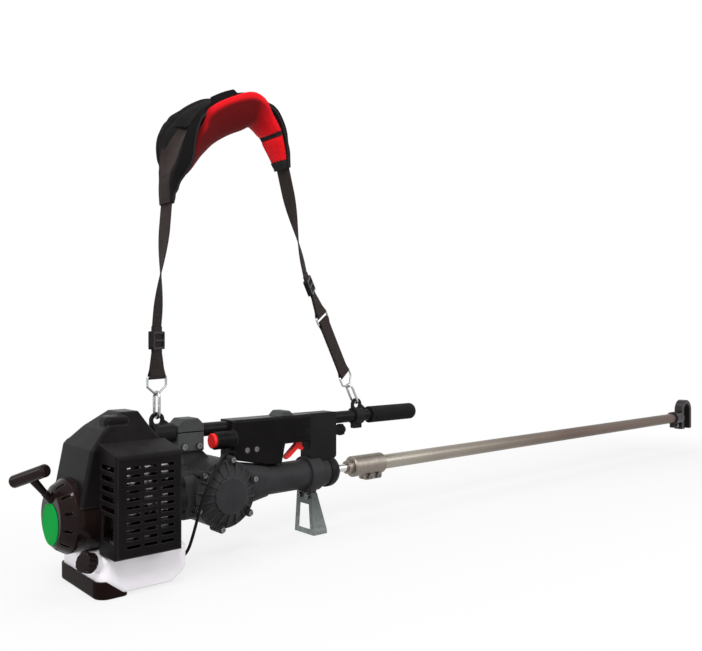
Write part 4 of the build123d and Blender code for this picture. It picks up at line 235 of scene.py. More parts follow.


class Graph:
    """Short way to add shader nodes: an input that is a socket gets linked, and any other value is set."""

    def __init__(self, tree):
        self.tree = tree

    def add(self, kind, inputs=None, **settings):
        node = self.tree.nodes.new(kind)
        for key, value in settings.items():
            setattr(node, key, value)
        for key, value in (inputs or {}).items():
            self.put(value, node.inputs[key])
        return node

    def put(self, value, socket):
        if isinstance(value, bpy.types.NodeSocket):
            self.tree.links.new(value, socket)
        else:
            socket.default_value = value

    def math(self, operation, *values):
        return self.add("ShaderNodeMath", dict(enumerate(values)), operation=operation).outputs[0]

    def times(self, first, second):
        return self.math("MULTIPLY", first, second)

    def plus(self, first, second):
        return self.math("ADD", first, second)

    def span(self, value, low, high, start=0.0, end=1.0):
        """Value from low to high, mapped to start to end and held there."""
        places = {"Value": value, "From Min": low, "From Max": high, "To Min": start, "To Max": end}
        return self.add("ShaderNodeMapRange", places).outputs["Result"]

    def blend(self, share, first, second):
        return self.add("ShaderNodeMix", {0: share, 6: first, 7: second}, data_type="RGBA").outputs[2]

    def noise(self, vector, scale, detail=3.0, rough=0.55):
        places = {"Vector": vector, "Scale": scale, "Detail": detail, "Roughness": rough}
        return self.add("ShaderNodeTexNoise", places).outputs["Fac"]

    def place(self, kind="Object"):
        return self.add("ShaderNodeTexCoord").outputs[kind]

    def facing(self):
        return self.add("ShaderNodeNewGeometry").outputs["Normal"]

    def parts(self, vector):
        """X, Y and Z of a vector."""
        return self.add("ShaderNodeSeparateXYZ", {0: vector}).outputs

    def stretched(self, vector, scale):
        return self.add("ShaderNodeVectorMath", {0: vector, 1: scale}, operation="MULTIPLY").outputs[0]

    def effect(self, name, **inputs):
        """Puts a node group in place with its own values."""
        return self.add("ShaderNodeGroup", inputs, node_tree=bpy.data.node_groups[name]).outputs

    def bump(self, shader, strength, distance, height, **more):
        """Height as a bump on the shader's normal."""
        places = {"Strength": strength, "Distance": distance, "Height": height, **more}
        self.put(self.add("ShaderNodeBump", places).outputs[0], shader["Normal"])


def cleared(owner):
    """Graph on the emptied node tree of a material or a world."""
    owner.use_nodes = True
    owner.node_tree.nodes.clear()
    return Graph(owner.node_tree)


def new_group(name, inputs, outputs):
    """Empty shader node group with named sockets; returns its graph, its inputs and its output node."""
    tree = bpy.data.node_groups.new(name, "ShaderNodeTree")
    for label, value in inputs.items():
        kind = VECTOR if isinstance(value, tuple) else FLOAT
        tree.interface.new_socket(name=label, in_out="INPUT", socket_type=kind).default_value = value
    for label, kind in outputs.items():
        tree.interface.new_socket(name=label, in_out="OUTPUT", socket_type=kind)
    graph = Graph(tree)
    return graph, graph.add("NodeGroupInput").outputs, graph.add("NodeGroupOutput").inputs


def group_soft_edges():
    """Normal rounded over the edges, and a mask of how far it turns there from the face's own normal."""
    g, given, made = new_group("Soft edges", {"Radius": 0.001}, {"Normal": VECTOR, "Edge": FLOAT})
    bevel = g.add("ShaderNodeBevel", {"Radius": given["Radius"]}, samples=4).outputs[0]
    dot = g.add("ShaderNodeVectorMath", {0: bevel, 1: g.facing()}, operation="DOT_PRODUCT").outputs["Value"]
    g.put(bevel, made["Normal"])
    g.put(g.span(dot, 0.995, 0.86), made["Edge"])


def group_moulded_grain():
    """Fine grain of a moulded or cast skin, and slow cloudy shade over the whole part."""
    g, given, made = new_group("Moulded grain", {"Scale": 900.0, "Cloud": 14.0}, RELIEF)
    place = g.place()
    fine = g.noise(place, given["Scale"], 2.0)
    pits = g.add("ShaderNodeTexVoronoi", {"Vector": place, "Scale": given["Scale"]}).outputs["Distance"]
    g.put(g.plus(fine, g.times(pits, 0.5)), made["Height"])
    g.put(g.span(g.noise(place, given["Cloud"], 5.0, 0.6), 0.3, 0.7), made["Shade"])


def group_settled_dust():
    """Dust that lies on faces that look up, in patches."""
    g, given, made = new_group("Settled dust", {"Scale": 45.0, "Amount": 0.3}, {"Mask": FLOAT})
    patch = g.span(g.noise(g.place(), given["Scale"], 6.0, 0.65), 0.35, 0.75)
    lying = g.times(g.span(g.parts(g.facing())["Z"], 0.1, 0.95), patch)
    g.put(g.times(lying, given["Amount"]), made["Mask"])


def group_rub_marks():
    """Short scratches: noise drawn out along a slanted direction and cut off at its crests."""
    g, given, made = new_group("Rub marks", {"Stretch": (30.0, 260.0, 140.0)}, {"Mask": FLOAT})
    place = g.place()
    lines = g.noise(g.stretched(place, given["Stretch"]), 1.0, 3.0, 0.7)
    patch = g.span(g.noise(place, 22.0, 2.0), 0.52, 0.66)
    g.put(g.times(g.span(lines, 0.60, 0.74), patch), made["Mask"])


def group_drawn_lines():
    """Fine lines left by drawing or turning: noise drawn out along the part's axis."""
    g, given, made = new_group("Drawn lines", {"Stretch": (3.0, 900.0, 900.0)}, RELIEF)
    place = g.place()
    lines = g.noise(g.stretched(place, given["Stretch"]), 1.0, 4.0, 0.6)
    cloud = g.noise(g.stretched(place, (4.0, 24.0, 24.0)), 1.0, 5.0, 0.6)
    g.put(lines, made["Height"])
    g.put(g.span(g.plus(lines, cloud), 0.75, 1.25), made["Shade"])


def group_zinc_spangle():
    """Crystals of a zinc coat: cells with their own shade."""
    g, given, made = new_group("Zinc spangle", {"Scale": 160.0}, {"Shade": FLOAT})
    cells = g.add("ShaderNodeTexVoronoi", {"Vector": g.place(), "Scale": given["Scale"]}).outputs["Color"]
    g.put(g.add("ShaderNodeSeparateColor", {0: cells}).outputs[0], made["Shade"])


def group_thread_weave():
    """Plain weave on the UV: along each thread a half sine, and a chequer says which thread lies on top."""
    g, given, made = new_group("Thread weave", {"Along": 700.0, "Across": 700.0}, RELIEF)
    parts = g.parts(g.place("UV"))
    threads = [g.times(parts["X"], given["Along"]), g.times(parts["Y"], given["Across"])]
    over = g.math("PINGPONG", g.plus(*(g.math("FLOOR", thread) for thread in threads)), 1.0)
    rounds = [g.math("ABSOLUTE", g.math("SINE", g.times(thread, math.pi))) for thread in threads]
    lifted = g.add("ShaderNodeMix", {0: over, 2: rounds[0], 3: rounds[1]}).outputs[0]
    cloud = g.span(g.noise(g.place(), 60.0, 4.0), 0.3, 0.7, 0.75, 1.1)
    g.put(lifted, made["Height"])
    # Shade: painted shade in the dips between threads, times a cloudy random tone
    g.put(g.times(g.span(lifted, 0.0, 1.0, 0.45, 1.0), cloud), made["Shade"])


def group_open_mesh():
    """Spacer mesh on the UV: small round holes on an even grid, every second row set over by half."""
    g, given, made = new_group("Open mesh", {"Pitch": 420.0}, {"Height": FLOAT, "Hole": FLOAT})
    parts = g.parts(g.place("UV"))
    u = g.times(parts["X"], given["Pitch"])
    v = g.plus(g.times(parts["Y"], given["Pitch"]), g.times(g.math("FLOOR", u), 0.5))
    du, dv = (g.math("SUBTRACT", g.math("FRACT", place), 0.5) for place in (u, v))
    far = g.math("SQRT", g.plus(g.times(du, du), g.times(dv, dv)))
    g.put(g.span(far, 0.12, 0.42), made["Height"])
    g.put(g.span(far, 0.30, 0.16), made["Hole"])


EFFECTS = (group_soft_edges, group_moulded_grain, group_settled_dust, group_rub_marks, group_drawn_lines,
           group_zinc_spangle, group_thread_weave, group_open_mesh)


def shaded(tint, share, lift=0.0):
    return tuple(min(1.0, c * share + lift) for c in tint) + (1.0,)


def new_material(name, **constants):
    """Material with a Principled shader; constants go on the shader's own sockets."""
    graph = cleared(bpy.data.materials.new(name))
    inputs = {key.replace("_", " "): value for key, value in constants.items()}
    shader = graph.add("ShaderNodeBsdfPrincipled", inputs)
    graph.add("ShaderNodeOutputMaterial", {"Surface": shader.outputs[0]})
    return graph, shader.inputs


def coated(name, tint, rough, grain=0.12, scale=900.0, edge=0.0012, lift=1.7, dust=0.05, rub=0.18, shade=0.22,
           gloss=0.06, **constants):
    """Moulded or painted skin: cloudy shade, paler edges that are partly rubbed wear and partly painted
    highlight, scratches, dust on top and a fine grain.
    """
    g, shader = new_material(name, Specular_IOR_Level=gloss, **constants)
    edges = g.effect("Soft edges", Radius=edge)
    skin_grain = g.effect("Moulded grain", Scale=scale)
    mask = g.effect("Settled dust", Amount=dust)["Mask"]
    # paler edges: partly rubbed wear, partly painted highlight; the rub marks are real scratches
    worn_and_highlit = g.math("MAXIMUM", g.times(edges["Edge"], 0.6), g.times(g.effect("Rub marks")["Mask"], rub))
    base = g.blend(skin_grain["Shade"], shaded(tint, 1 - shade), shaded(tint, 1 + shade))
    base = g.blend(worn_and_highlit, base, shaded(tint, lift, 0.016))
    g.put(g.blend(mask, base, PAINT_DUST), shader["Base Color"])
    level = g.plus(g.span(skin_grain["Shade"], 0.0, 1.0, rough - 0.07, rough + 0.07), g.times(mask, 0.35))
    g.put(g.math("SUBTRACT", level, g.times(worn_and_highlit, 0.08)), shader["Roughness"])
    g.bump(shader, grain, 0.0004, skin_grain["Height"], Normal=edges["Normal"])


def bare_metal(name, tint, rough, stretch, lines, spangle=0.0, edge=0.0008, shade_patches=None, far_shade=None):
    """Bare metal: drawn or turned lines, clouded shade and edges painted brighter as a highlight. Zinc has
    crystals and painted shade that darkens it upwards, the muffler has near-black patches of painted shade,
    and the pole has painted shade that darkens it along its length."""
    g, shader = new_material(name, Metallic=1.0)
    edges = g.effect("Soft edges", Radius=edge)
    drawn = g.effect("Drawn lines", Stretch=stretch)
    base = g.blend(drawn["Shade"], shaded(tint, 0.80), shaded(tint, 1.12))
    level = g.span(drawn["Shade"], 0.0, 1.0, rough + 0.07, rough - 0.05)
    if spangle:
        cells = g.effect("Zinc spangle")["Shade"]
        # painted shade: the stand is lighter at the floor and darker upwards
        base = g.blend(g.span(g.parts(g.place())["Z"], *STAND_SHADE), shaded(tint, 1.15), shaded(tint, 0.30))
        base = g.blend(g.times(cells, spangle), base, shaded(tint, 0.45))
        level = g.plus(level, g.times(cells, 0.14))
    # painted shade: the pole darkens along its length towards the hook
    if far_shade:
        far_shaded = g.blend(drawn["Shade"], shaded(far_shade, 0.80), shaded(far_shade, 1.12))
        base = g.blend(g.span(g.parts(g.place())["X"], *POLE_SHADE), base, far_shaded)
    # painted shade: near-black patches over most of the muffler, leaving bare patches that catch glints
    if shade_patches:
        base = g.blend(g.span(g.noise(g.place(), 48.0, 4.0), 0.56, 0.48), base, shaded(shade_patches, 1.0))
    # painted highlight: rounded edges brighter than the flats
    g.put(g.blend(g.times(edges["Edge"], 0.4), base, shaded(tint, 1.5)), shader["Base Color"])
    g.put(level, shader["Roughness"])
    g.bump(shader, lines, 0.0003, drawn["Height"], Normal=edges["Normal"])


def woven(name, tint, along, across, relief, **constants):
    """Woven cloth on the piece's UV: threads, painted shade in the dips between them, and a soft bump."""
    g, shader = new_material(name, Roughness=0.82, Specular_IOR_Level=0.04, **constants)
    weave = g.effect("Thread weave", Along=along, Across=across)
    mask = g.effect("Settled dust", Amount=0.025, Scale=60.0)["Mask"]
    base = g.blend(weave["Shade"], shaded(tint, 0.45), shaded(tint, 1.45))
    g.put(g.blend(mask, base, CLOTH_DUST), shader["Base Color"])
    g.bump(shader, relief, 0.0006, weave["Height"])


def mesh_cloth(name, tint, pitch, **constants):
    """Red spacer mesh: round holes painted darker as shade inside them, and painted shade on the underside
    and on the rear arm.
    """
    g, shader = new_material(name, Roughness=0.72, Specular_IOR_Level=0.06, **constants)
    net = g.effect("Open mesh", Pitch=pitch)
    cloud = g.span(g.noise(g.place(), 24.0, 4.0), 0.3, 0.7)
    base = g.blend(cloud, shaded(tint, 0.86), shaded(tint, 1.08))
    along = g.parts(g.place())["X"]
    # painted shade: darker where the cushion faces down in its middle, and over the rear arm
    underside_shade = g.times(g.span(g.parts(g.facing())["Z"], *BELLY_SHADE_TURN), g.span(along, *BELLY_SHADE_SPAN))
    underside_shade = g.math("MAXIMUM", underside_shade, g.span(along, *ARM_SHADE_SPAN))
    base = g.blend(underside_shade, base, shaded(tint, 0.12))
    # painted shade inside the mesh's holes
    g.put(g.blend(g.times(net["Hole"], 0.65), base, shaded(tint, 0.30)), shader["Base Color"])
    g.bump(shader, 0.45, 0.0008, net["Height"])


def seen_rays(g):
    """1 for rays that show the background: from the camera, off gloss or through glass."""
    rays = g.add("ShaderNodeLightPath").outputs
    seen = g.math("MAXIMUM", rays["Is Camera Ray"], rays["Is Glossy Ray"])
    return g.math("MAXIMUM", seen, rays["Is Transmission Ray"])


# Surfaces

def unit(vector):
    vector = np.asarray(vector, float)
    return vector / np.linalg.norm(vector, axis=-1, keepdims=True)


def through(points, count):
    """Smooth line through points: each span is the cubic whose end slopes follow its neighbours' chords."""
    held = np.vstack([2 * points[0] - points[1], points, 2 * points[-1] - points[-2]])
    t = np.linspace(0, len(points) - 1, count)
    i = np.minimum(t.astype(int), len(points) - 2)
    f = (t - i)[:, None]
    a, b, c, d = held[i], held[i + 1], held[i + 2], held[i + 3]
    square, cube = 2 * a - 5 * b + 4 * c - d, 3 * b - a - 3 * c + d
    return 0.5 * (2 * b + (c - a) * f + square * f ** 2 + cube * f ** 3)


def smooth_step(value, low, high):
    t = np.clip((value - low) / (high - low), 0.0, 1.0)
    return t * t * (3 - 2 * t)


def window(value, comes, goes):
    """1 between two smooth steps, 0 outside them."""
    return smooth_step(value, *comes) * smooth_step(value, *goes)


def bells(value, middles, half):
    """Sum of bell curves about middles, each with the same half width."""
    return sum(np.exp(-((value - middle) / half) ** 2) for middle in middles)


def around(count):
    """Even angles of a full turn."""
    return np.arange(count) * 2 * math.pi / count


def line_length(points):
    return float(np.linalg.norm(np.diff(points, axis=0), axis=1).sum())


def skin(name, grid, capped, sharp):
    """Quads over a grid of points, rows by columns, with a UV in metres along the rows and the columns.

    The last column meets the first. A capped grid also runs to the middle of its end rows."""
    grid = np.concatenate([grid, grid[:, :1]], axis=1)
    if capped:
        ends = [np.broadcast_to(row[:-1].mean(axis=0), row.shape)[None] for row in (grid[0], grid[-1])]
        grid = np.concatenate([ends[0], grid, ends[1]], axis=0)
    rows, columns = grid.shape[:2]
    along = np.linalg.norm(np.diff(grid, axis=0), axis=2).mean(axis=1)
    across = np.linalg.norm(np.diff(grid, axis=1), axis=2).mean(axis=0)
    u, v = (np.concatenate([[0.0], np.cumsum(steps)]) for steps in (along, across))
    place = np.stack(np.broadcast_arrays(u[:, None], v[None, :]), axis=-1).reshape(-1, 2)
    index = np.arange(rows * columns).reshape(rows, columns)
    quads = np.stack([index[:-1, :-1], index[1:, :-1], index[1:, 1:], index[:-1, 1:]], axis=-1).reshape(-1, 4)
    mesh = bpy.data.meshes.new(name)
    mesh.from_pydata(grid.reshape(-1, 3), [], quads)
    layer = mesh.uv_layers.new(name="UVMap")
    layer.data.foreach_set("uv", place[quads.ravel()].ravel())
    tidy_mesh(mesh, sharp)
    return mesh


def tidy_mesh(mesh, sharp):
    """Merges the seam and the poles, turns the faces outwards and shades them smooth up to an angle."""
    shape = bmesh.new()
    shape.from_mesh(mesh)
    bmesh.ops.remove_doubles(shape, verts=shape.verts, dist=1e-6)
    bmesh.ops.dissolve_degenerate(shape, edges=shape.edges, dist=1e-7)
    bmesh.ops.recalc_face_normals(shape, faces=shape.faces)
    shape.to_mesh(mesh)
    shape.free()
    mesh.shade_smooth()
    mesh.set_sharp_from_angle(angle=math.radians(sharp))


def carried(path, across, outward, profile):
    """Profile carried along a path: each path point plus the profile's pair along its two directions."""
    return path[:, None] + across[:, None] * profile[:, :1] + outward[:, None] * profile[:, 1:]


def line_points(curve):
    """Points of a curve object's own line, read from the mesh that it gives with no bevel."""
    mesh = bpy.data.meshes.new_from_object(curve)
    flat = np.empty(3 * len(mesh.vertices))
    mesh.vertices.foreach_get("co", flat)
    bpy.data.meshes.remove(mesh)
    return flat.reshape(-1, 3)


def cord_curve(name, route):
    """Smooth line of a cord: a NURBS curve with the route's points as its control points."""
    curve = bpy.data.curves.new(name, "CURVE")
    curve.dimensions = "3D"
    curve.resolution_u = 10
    spline = curve.splines.new("NURBS")
    spline.points.add(len(route) - 1)
    weighted = np.concatenate([route, np.ones((len(route), 1))], axis=1)
    spline.points.foreach_set("co", weighted.ravel())
    spline.order_u = 3
    spline.use_endpoint_u = True
    return linked(name, curve)


def linked(name, data):
    made = bpy.data.objects.new(name, data)
    bpy.context.scene.collection.objects.link(made)
    return made


def along_line(points, distance):
    """Points at distances along a line of points."""
    run = np.concatenate([[0.0], np.cumsum(np.linalg.norm(np.diff(points, axis=0), axis=1))])
    return np.stack([np.interp(distance, run, points[:, axis]) for axis in range(3)], axis=-1)


def sleeve(line, profile, sides, relief=0.0):
    """Pairs of distance and radius turned about a line of points, plus a relief on the radius."""
    distance, radius = np.asarray(profile, float).T
    aim = unit(along_line(line, distance + 1e-4) - along_line(line, distance - 1e-4))
    side = unit(np.cross(aim, Y_AXIS if abs(aim[0, 1]) < 0.9 else X_AXIS))
    angle = around(sides)[:, None]
    ring = np.cos(angle) * side[:, None] + np.sin(angle) * np.cross(aim, side)[:, None]
    return along_line(line, distance)[:, None] + ring * (radius[:, None] + relief)[..., None]


def straight(start, aim, length):
    return np.stack([start, start + unit(aim) * length])


def band_profile(width, thick, flats=9, rounds=5):
    """Closed section of a strap: two flats and two half-round edges, as pairs of across and out."""
    r = thick / 2
    flat = np.linspace(-(width / 2 - r), width / 2 - r, flats)
    turn = np.linspace(-math.pi / 2, math.pi / 2, rounds + 2)[1:-1]
    right = np.stack([width / 2 - r + r * np.cos(turn), r * np.sin(turn)], axis=1)
    low = np.stack([flat, np.full(flats, -r)], axis=1)
    return np.concatenate([low, right, -low, -right])


def piece(name, mesh, material, body, slot, *replaced):
    made = linked(name, mesh)
    mesh.materials.append(bpy.data.materials[material])
    if body:
        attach(made, body)
    if replaced:
        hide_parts(*replaced)
    return made


def shaped(name, grid, material, body, slot, *replaced, capped=True, sharp=50):
    return piece(name, skin(name, grid, capped, sharp), material, body, slot, *replaced)


def stitched(name, lines, pitch, length, radius):
    """Stitches along lines at an even pitch: six-sided capsules, thin at their ends and full between."""
    runs = [np.arange(pitch * 0.5, line_length(line) - length, pitch) for line in lines]
    starts = np.concatenate([along_line(line, run) for line, run in zip(lines, runs)])
    aim = np.concatenate([along_line(line, run + length) for line, run in zip(lines, runs)]) - starts
    along = np.array((0.0, 0.12, 0.5, 0.88, 1.0))
    swell = np.array((0.35, 0.9, 1.0, 0.9, 0.35))
    turn = around(6)[:, None]
    side = unit(np.cross(aim, np.broadcast_to(NO_SEAM, aim.shape)))
    ring = np.cos(turn) * side[:, None] + np.sin(turn) * unit(np.cross(aim, side))[:, None]
    body = starts[:, None, None] + aim[:, None, None] * along[:, None, None]
    points = (body + ring[:, None] * (swell * radius)[:, None, None]).reshape(-1, 3)
    cell = np.arange(len(along) * len(turn)).reshape(len(along), len(turn))
    corners = (cell[:-1], cell[1:], np.roll(cell[1:], -1, 1), np.roll(cell[:-1], -1, 1))
    quads = np.stack(corners, -1).reshape(-1, 4)
    shift = cell.size * np.arange(len(starts))[:, None, None]
    mesh = bpy.data.meshes.new(name)
    mesh.from_pydata(points, [], (quads + shift).reshape(-1, 4))
    shape = bmesh.new()
    shape.from_mesh(mesh)
    bmesh.ops.holes_fill(shape, edges=shape.edges, sides=len(turn))
    bmesh.ops.recalc_face_normals(shape, faces=shape.faces)
    shape.to_mesh(mesh)
    shape.free()
    mesh.shade_smooth()
    return piece(name, mesh, "thread_black", "harness", "web_fabric")


# Shoulder pad's form

class PadForm:
    """Pad's line with its outward direction, width, thicknesses and rise, at any share of its length."""

    NAMES = ("x", "z", "width", "black", "lining", "rise", "out_x", "out_z")

    def __init__(self):
        line = through(PAD_STATIONS, 400)
        slope = unit(np.gradient(line[:, :2], axis=0))
        outward = np.stack([-slope[:, 1], slope[:, 0]], axis=1)
        self.share = np.linspace(0, 1, len(line))
        self.length = line_length(line[:, :2])
        self.columns = dict(zip(self.NAMES, np.concatenate([line, outward], axis=1).T))

    def at(self, share, *names):
        """Named columns at shares of the length."""
        return [np.interp(share, self.share, self.columns[name]) for name in names]

    def place(self, share, y, out):
        """Model points at a share of the length, a distance across and a distance outwards."""
        x, z, out_x, out_z = self.at(share, "x", "z", "out_x", "out_z")
        return np.stack(np.broadcast_arrays(x + out_x * out, y, z + out_z * out), axis=-1)

    def seam(self, share, y):
        """Seam between black and red: a parabola across the pad that lifts its sides by the rise."""
        width, rise = self.at(share, "width", "rise")
        return rise * ((2 * y / width) ** 2 - 1 / 3)

    def roll(self, share):
        """Where the red cushion rolls out past the black: 1 over the shoulder, 0 at the arms."""
        return window(share, *ROLL_SPAN)

    def flare(self, share):
        """Width of the strap sewn up the rear arm, as a multiple of the webbing's."""
        return 1 + PANEL_FLARE * smooth_step(share, *PANEL_SPAN)

    def shell_half(self, share):
        return self.at(share, "width")[0] / 2 * (1 - ROLL_NARROW * self.roll(share))

    def hem(self, share):
        """Lower edge of the black side wall, which reaches deep over the lining on the rear arm."""
        wrap = HEM_DEEP + window(share, *WRAP_SPAN) * self.at(share, "lining")[0] * WRAP_DEEP
        return self.seam(share, self.shell_half(share)) - wrap

    def top(self, share, y):
        """Black pad's outside: full in the middle, a power curve to its edges, a fuller far side, sewn
        channels and a stepped band over the crest."""
        width, black = self.at(share, "width", "black")
        v = np.clip(2 * y / width, -1, 1)
        crest = window(share, *CREST_SPAN) * smooth_step(v, *CREST_SIDE)
        edge = EDGE_SHARE + CREST_FULL * crest
        height = black * (edge + (1 - edge) * (1 - np.abs(v) ** CROWN_POWER)) + CREST_STEP * crest
        lift = FAR_LIFT * window(share, *FAR_SPAN) * smooth_step(v, *FAR_SIDE)
        channel = CHANNEL_DEEP * bells(np.abs(y), (CHANNEL_AT,), CHANNEL_HALF)
        cross = CROSS_DEEP * bells(share, CROSS_AT, CROSS_HALF) * (np.abs(y) > CROSS_FROM)
        quilt = window(share, *QUILT_SPAN) * (1 - crest)
        return self.seam(share, y) + height + lift - quilt * (channel + cross)

    def cushion(self, share, angle, grow=0.0):
        """Red cushion's outside at an angle of its section: a flat-sided oval between the seam and the belly,
        drawn in at the bands, with the roll's edge lifted over the seam, most at the near front corner."""
        width, black, lining = self.at(share, "width", "black", "lining")
        red = self.roll(share)
        half = width / 2 - CUSHION_INSET + CUSHION_ROLL * red
        c, s = np.cos(angle), np.sin(angle)
        y = half * np.sign(c) * np.abs(c) ** np.where(s > 0, OVAL, OVAL + OVAL_WIDE * red)
        side = np.abs(y) / half
        drawn = np.clip(bells(share, DRAWN_AT, DRAWN_HALF), 0, 1)
        pucker = PUCKER_DEEP * bells(share, PUCKER_AT, PUCKER_HALF) * np.sin(PUCKER_COUNT * angle)
        peak = PEAK_LIFT * bells(share, (PEAK_AT,), PEAK_HALF) * (y < 0)
        seam = self.seam(share, y)
        high = seam + SEAM_GAP + red * (EDGE_SHARE * black - SEAM_GAP + peak) * smooth_step(side, *ROLL_EDGE)
        low = seam - lining * (BELLY_SIDE + BELLY_FULL * (1 - side ** 2)) * (1 - DRAWN_DEEP * drawn) - pucker
        tall = (high - low) / 2 + grow
        out = (high + low) / 2 + tall * np.sign(s) * np.abs(s) ** np.where(s > 0, OVAL, OVAL + OVAL_LOW * red)
        return self.place(share, y * (1 + grow / half), out)

    def shell_grid(self, rows=260):
        """Black pad: over its outside from edge to edge, down a side wall over the lining, and back."""
        share = np.linspace(0, 1, rows)[:, None]
        half, hem = self.shell_half(share), self.hem(share)
        over_y = np.sin(np.linspace(-math.pi / 2, math.pi / 2, 61))[None] * half
        over_z = self.top(share, over_y)
        wall = np.linspace(0, 1, 9)[None, 1:]
        far_y = np.repeat(half, wall.size, axis=1)
        far_z, near_z = (edge + (hem - edge) * wall for edge in (over_z[:, -1:], over_z[:, :1]))
        tuck_y = half - WALL_TUCK
        back_y = np.linspace(1, -1, 17)[None] * tuck_y
        back_z = self.seam(share, back_y) - SEAM_GAP
        y = np.concatenate([over_y, far_y, tuck_y, back_y, -tuck_y, -far_y], axis=1)
        z = np.concatenate([over_z, far_z, hem, back_z, hem, near_z[:, ::-1]], axis=1)
        for _ in range(2):
            y, z = (0.25 * np.roll(c, 1, 1) + 0.5 * c + 0.25 * np.roll(c, -1, 1) for c in (y, z))
        return self.place(np.broadcast_to(share, y.shape), y, z)

    def cushion_grid(self, rows=220, sides=96):
        """Red lining: the cushion's section at even angles, along the pad."""
        share = np.linspace(*CUSHION_RUN, rows)[:, None]
        return self.cushion(*np.broadcast_arrays(share, around(sides)[None]))


# Pieces

class ShakerStage(bpy.types.Operator):
    """Camera at the picture's viewpoint, pale floor, white surround and soft studio lamps"""

    bl_idname = "shaker.stage"
    bl_label = "Stage"

    def execute(self, context):
        scene = context.scene
        camera = bpy.data.cameras.new("picture_camera")
        camera.sensor_fit = "HORIZONTAL"
        camera.sensor_width = CAMERA_SENSOR
        camera.lens = CAMERA_LENS
        camera.shift_y = CAMERA_SHIFT
        scene.camera = linked("picture_camera", camera)
        scene.camera.location = CAMERA_PLACE
        scene.camera.rotation_euler = (math.radians(90), 0, math.atan2(-CAMERA_AIM[0], CAMERA_AIM[1]))
        scene.view_settings.view_transform = "Standard"
        self.floor()
        self.surround(scene)
        for lamp in LAMPS:
            self.lamp(*lamp)
        return {"FINISHED"}

    def floor(self):
        """Floor that keeps the shadow close to the machine and fades to the white surround further out."""
        material = bpy.data.materials.new("pale_floor")
        g = cleared(material)
        place = g.parts(g.place())
        off = g.math("ABSOLUTE", g.math("SUBTRACT", place["X"], FLOOR_MIDDLE))
        past = g.math("MAXIMUM", g.math("SUBTRACT", off, FLOOR_HALF), 0.0)
        far = g.math("SQRT", g.plus(g.math("POWER", past, 2.0), g.math("POWER", place["Y"], 2.0)))
        share = g.times(seen_rays(g), g.span(far, *FLOOR_FADE))
        matt = g.add("ShaderNodeBsdfDiffuse", {"Color": FLOOR_GREY}).outputs[0]
        glow = g.add("ShaderNodeEmission", {"Color": WHITE, "Strength": 1.0}).outputs[0]
        both = g.add("ShaderNodeMixShader", {0: share, 1: matt, 2: glow}).outputs[0]
        g.add("ShaderNodeOutputMaterial", {"Surface": both})
        mesh = bpy.data.meshes.new("studio_floor")
        corners = [(x * FLOOR_REACH, y * FLOOR_REACH, 0) for x, y in ((-1, -1), (1, -1), (1, 1), (-1, 1))]
        mesh.from_pydata(corners, [], [(0, 1, 2, 3)])
        mesh.materials.append(material)
        linked("studio_floor", mesh)

    def surround(self, scene):
        scene.world = bpy.data.worlds.new("white_surround")
        g = cleared(scene.world)
        level = g.span(seen_rays(g), 0.0, 1.0, SURROUND_LIGHT, 1.0)
        back = g.add("ShaderNodeBackground", {"Color": WHITE, "Strength": level}).outputs[0]
        g.add("ShaderNodeOutputWorld", {"Surface": back})

    def lamp(self, name, place, target, size, power):
        data = bpy.data.lights.new(name, "AREA")
        data.shape = "DISK"
        data.size = size
        data.energy = power
        lamp = linked(name, data)
        aim = unit(np.array(target) - np.array(place))
        lamp.rotation_euler = (math.acos(-aim[2]), 0, math.atan2(aim[0], -aim[1]) + math.pi)
        lamp.location = place


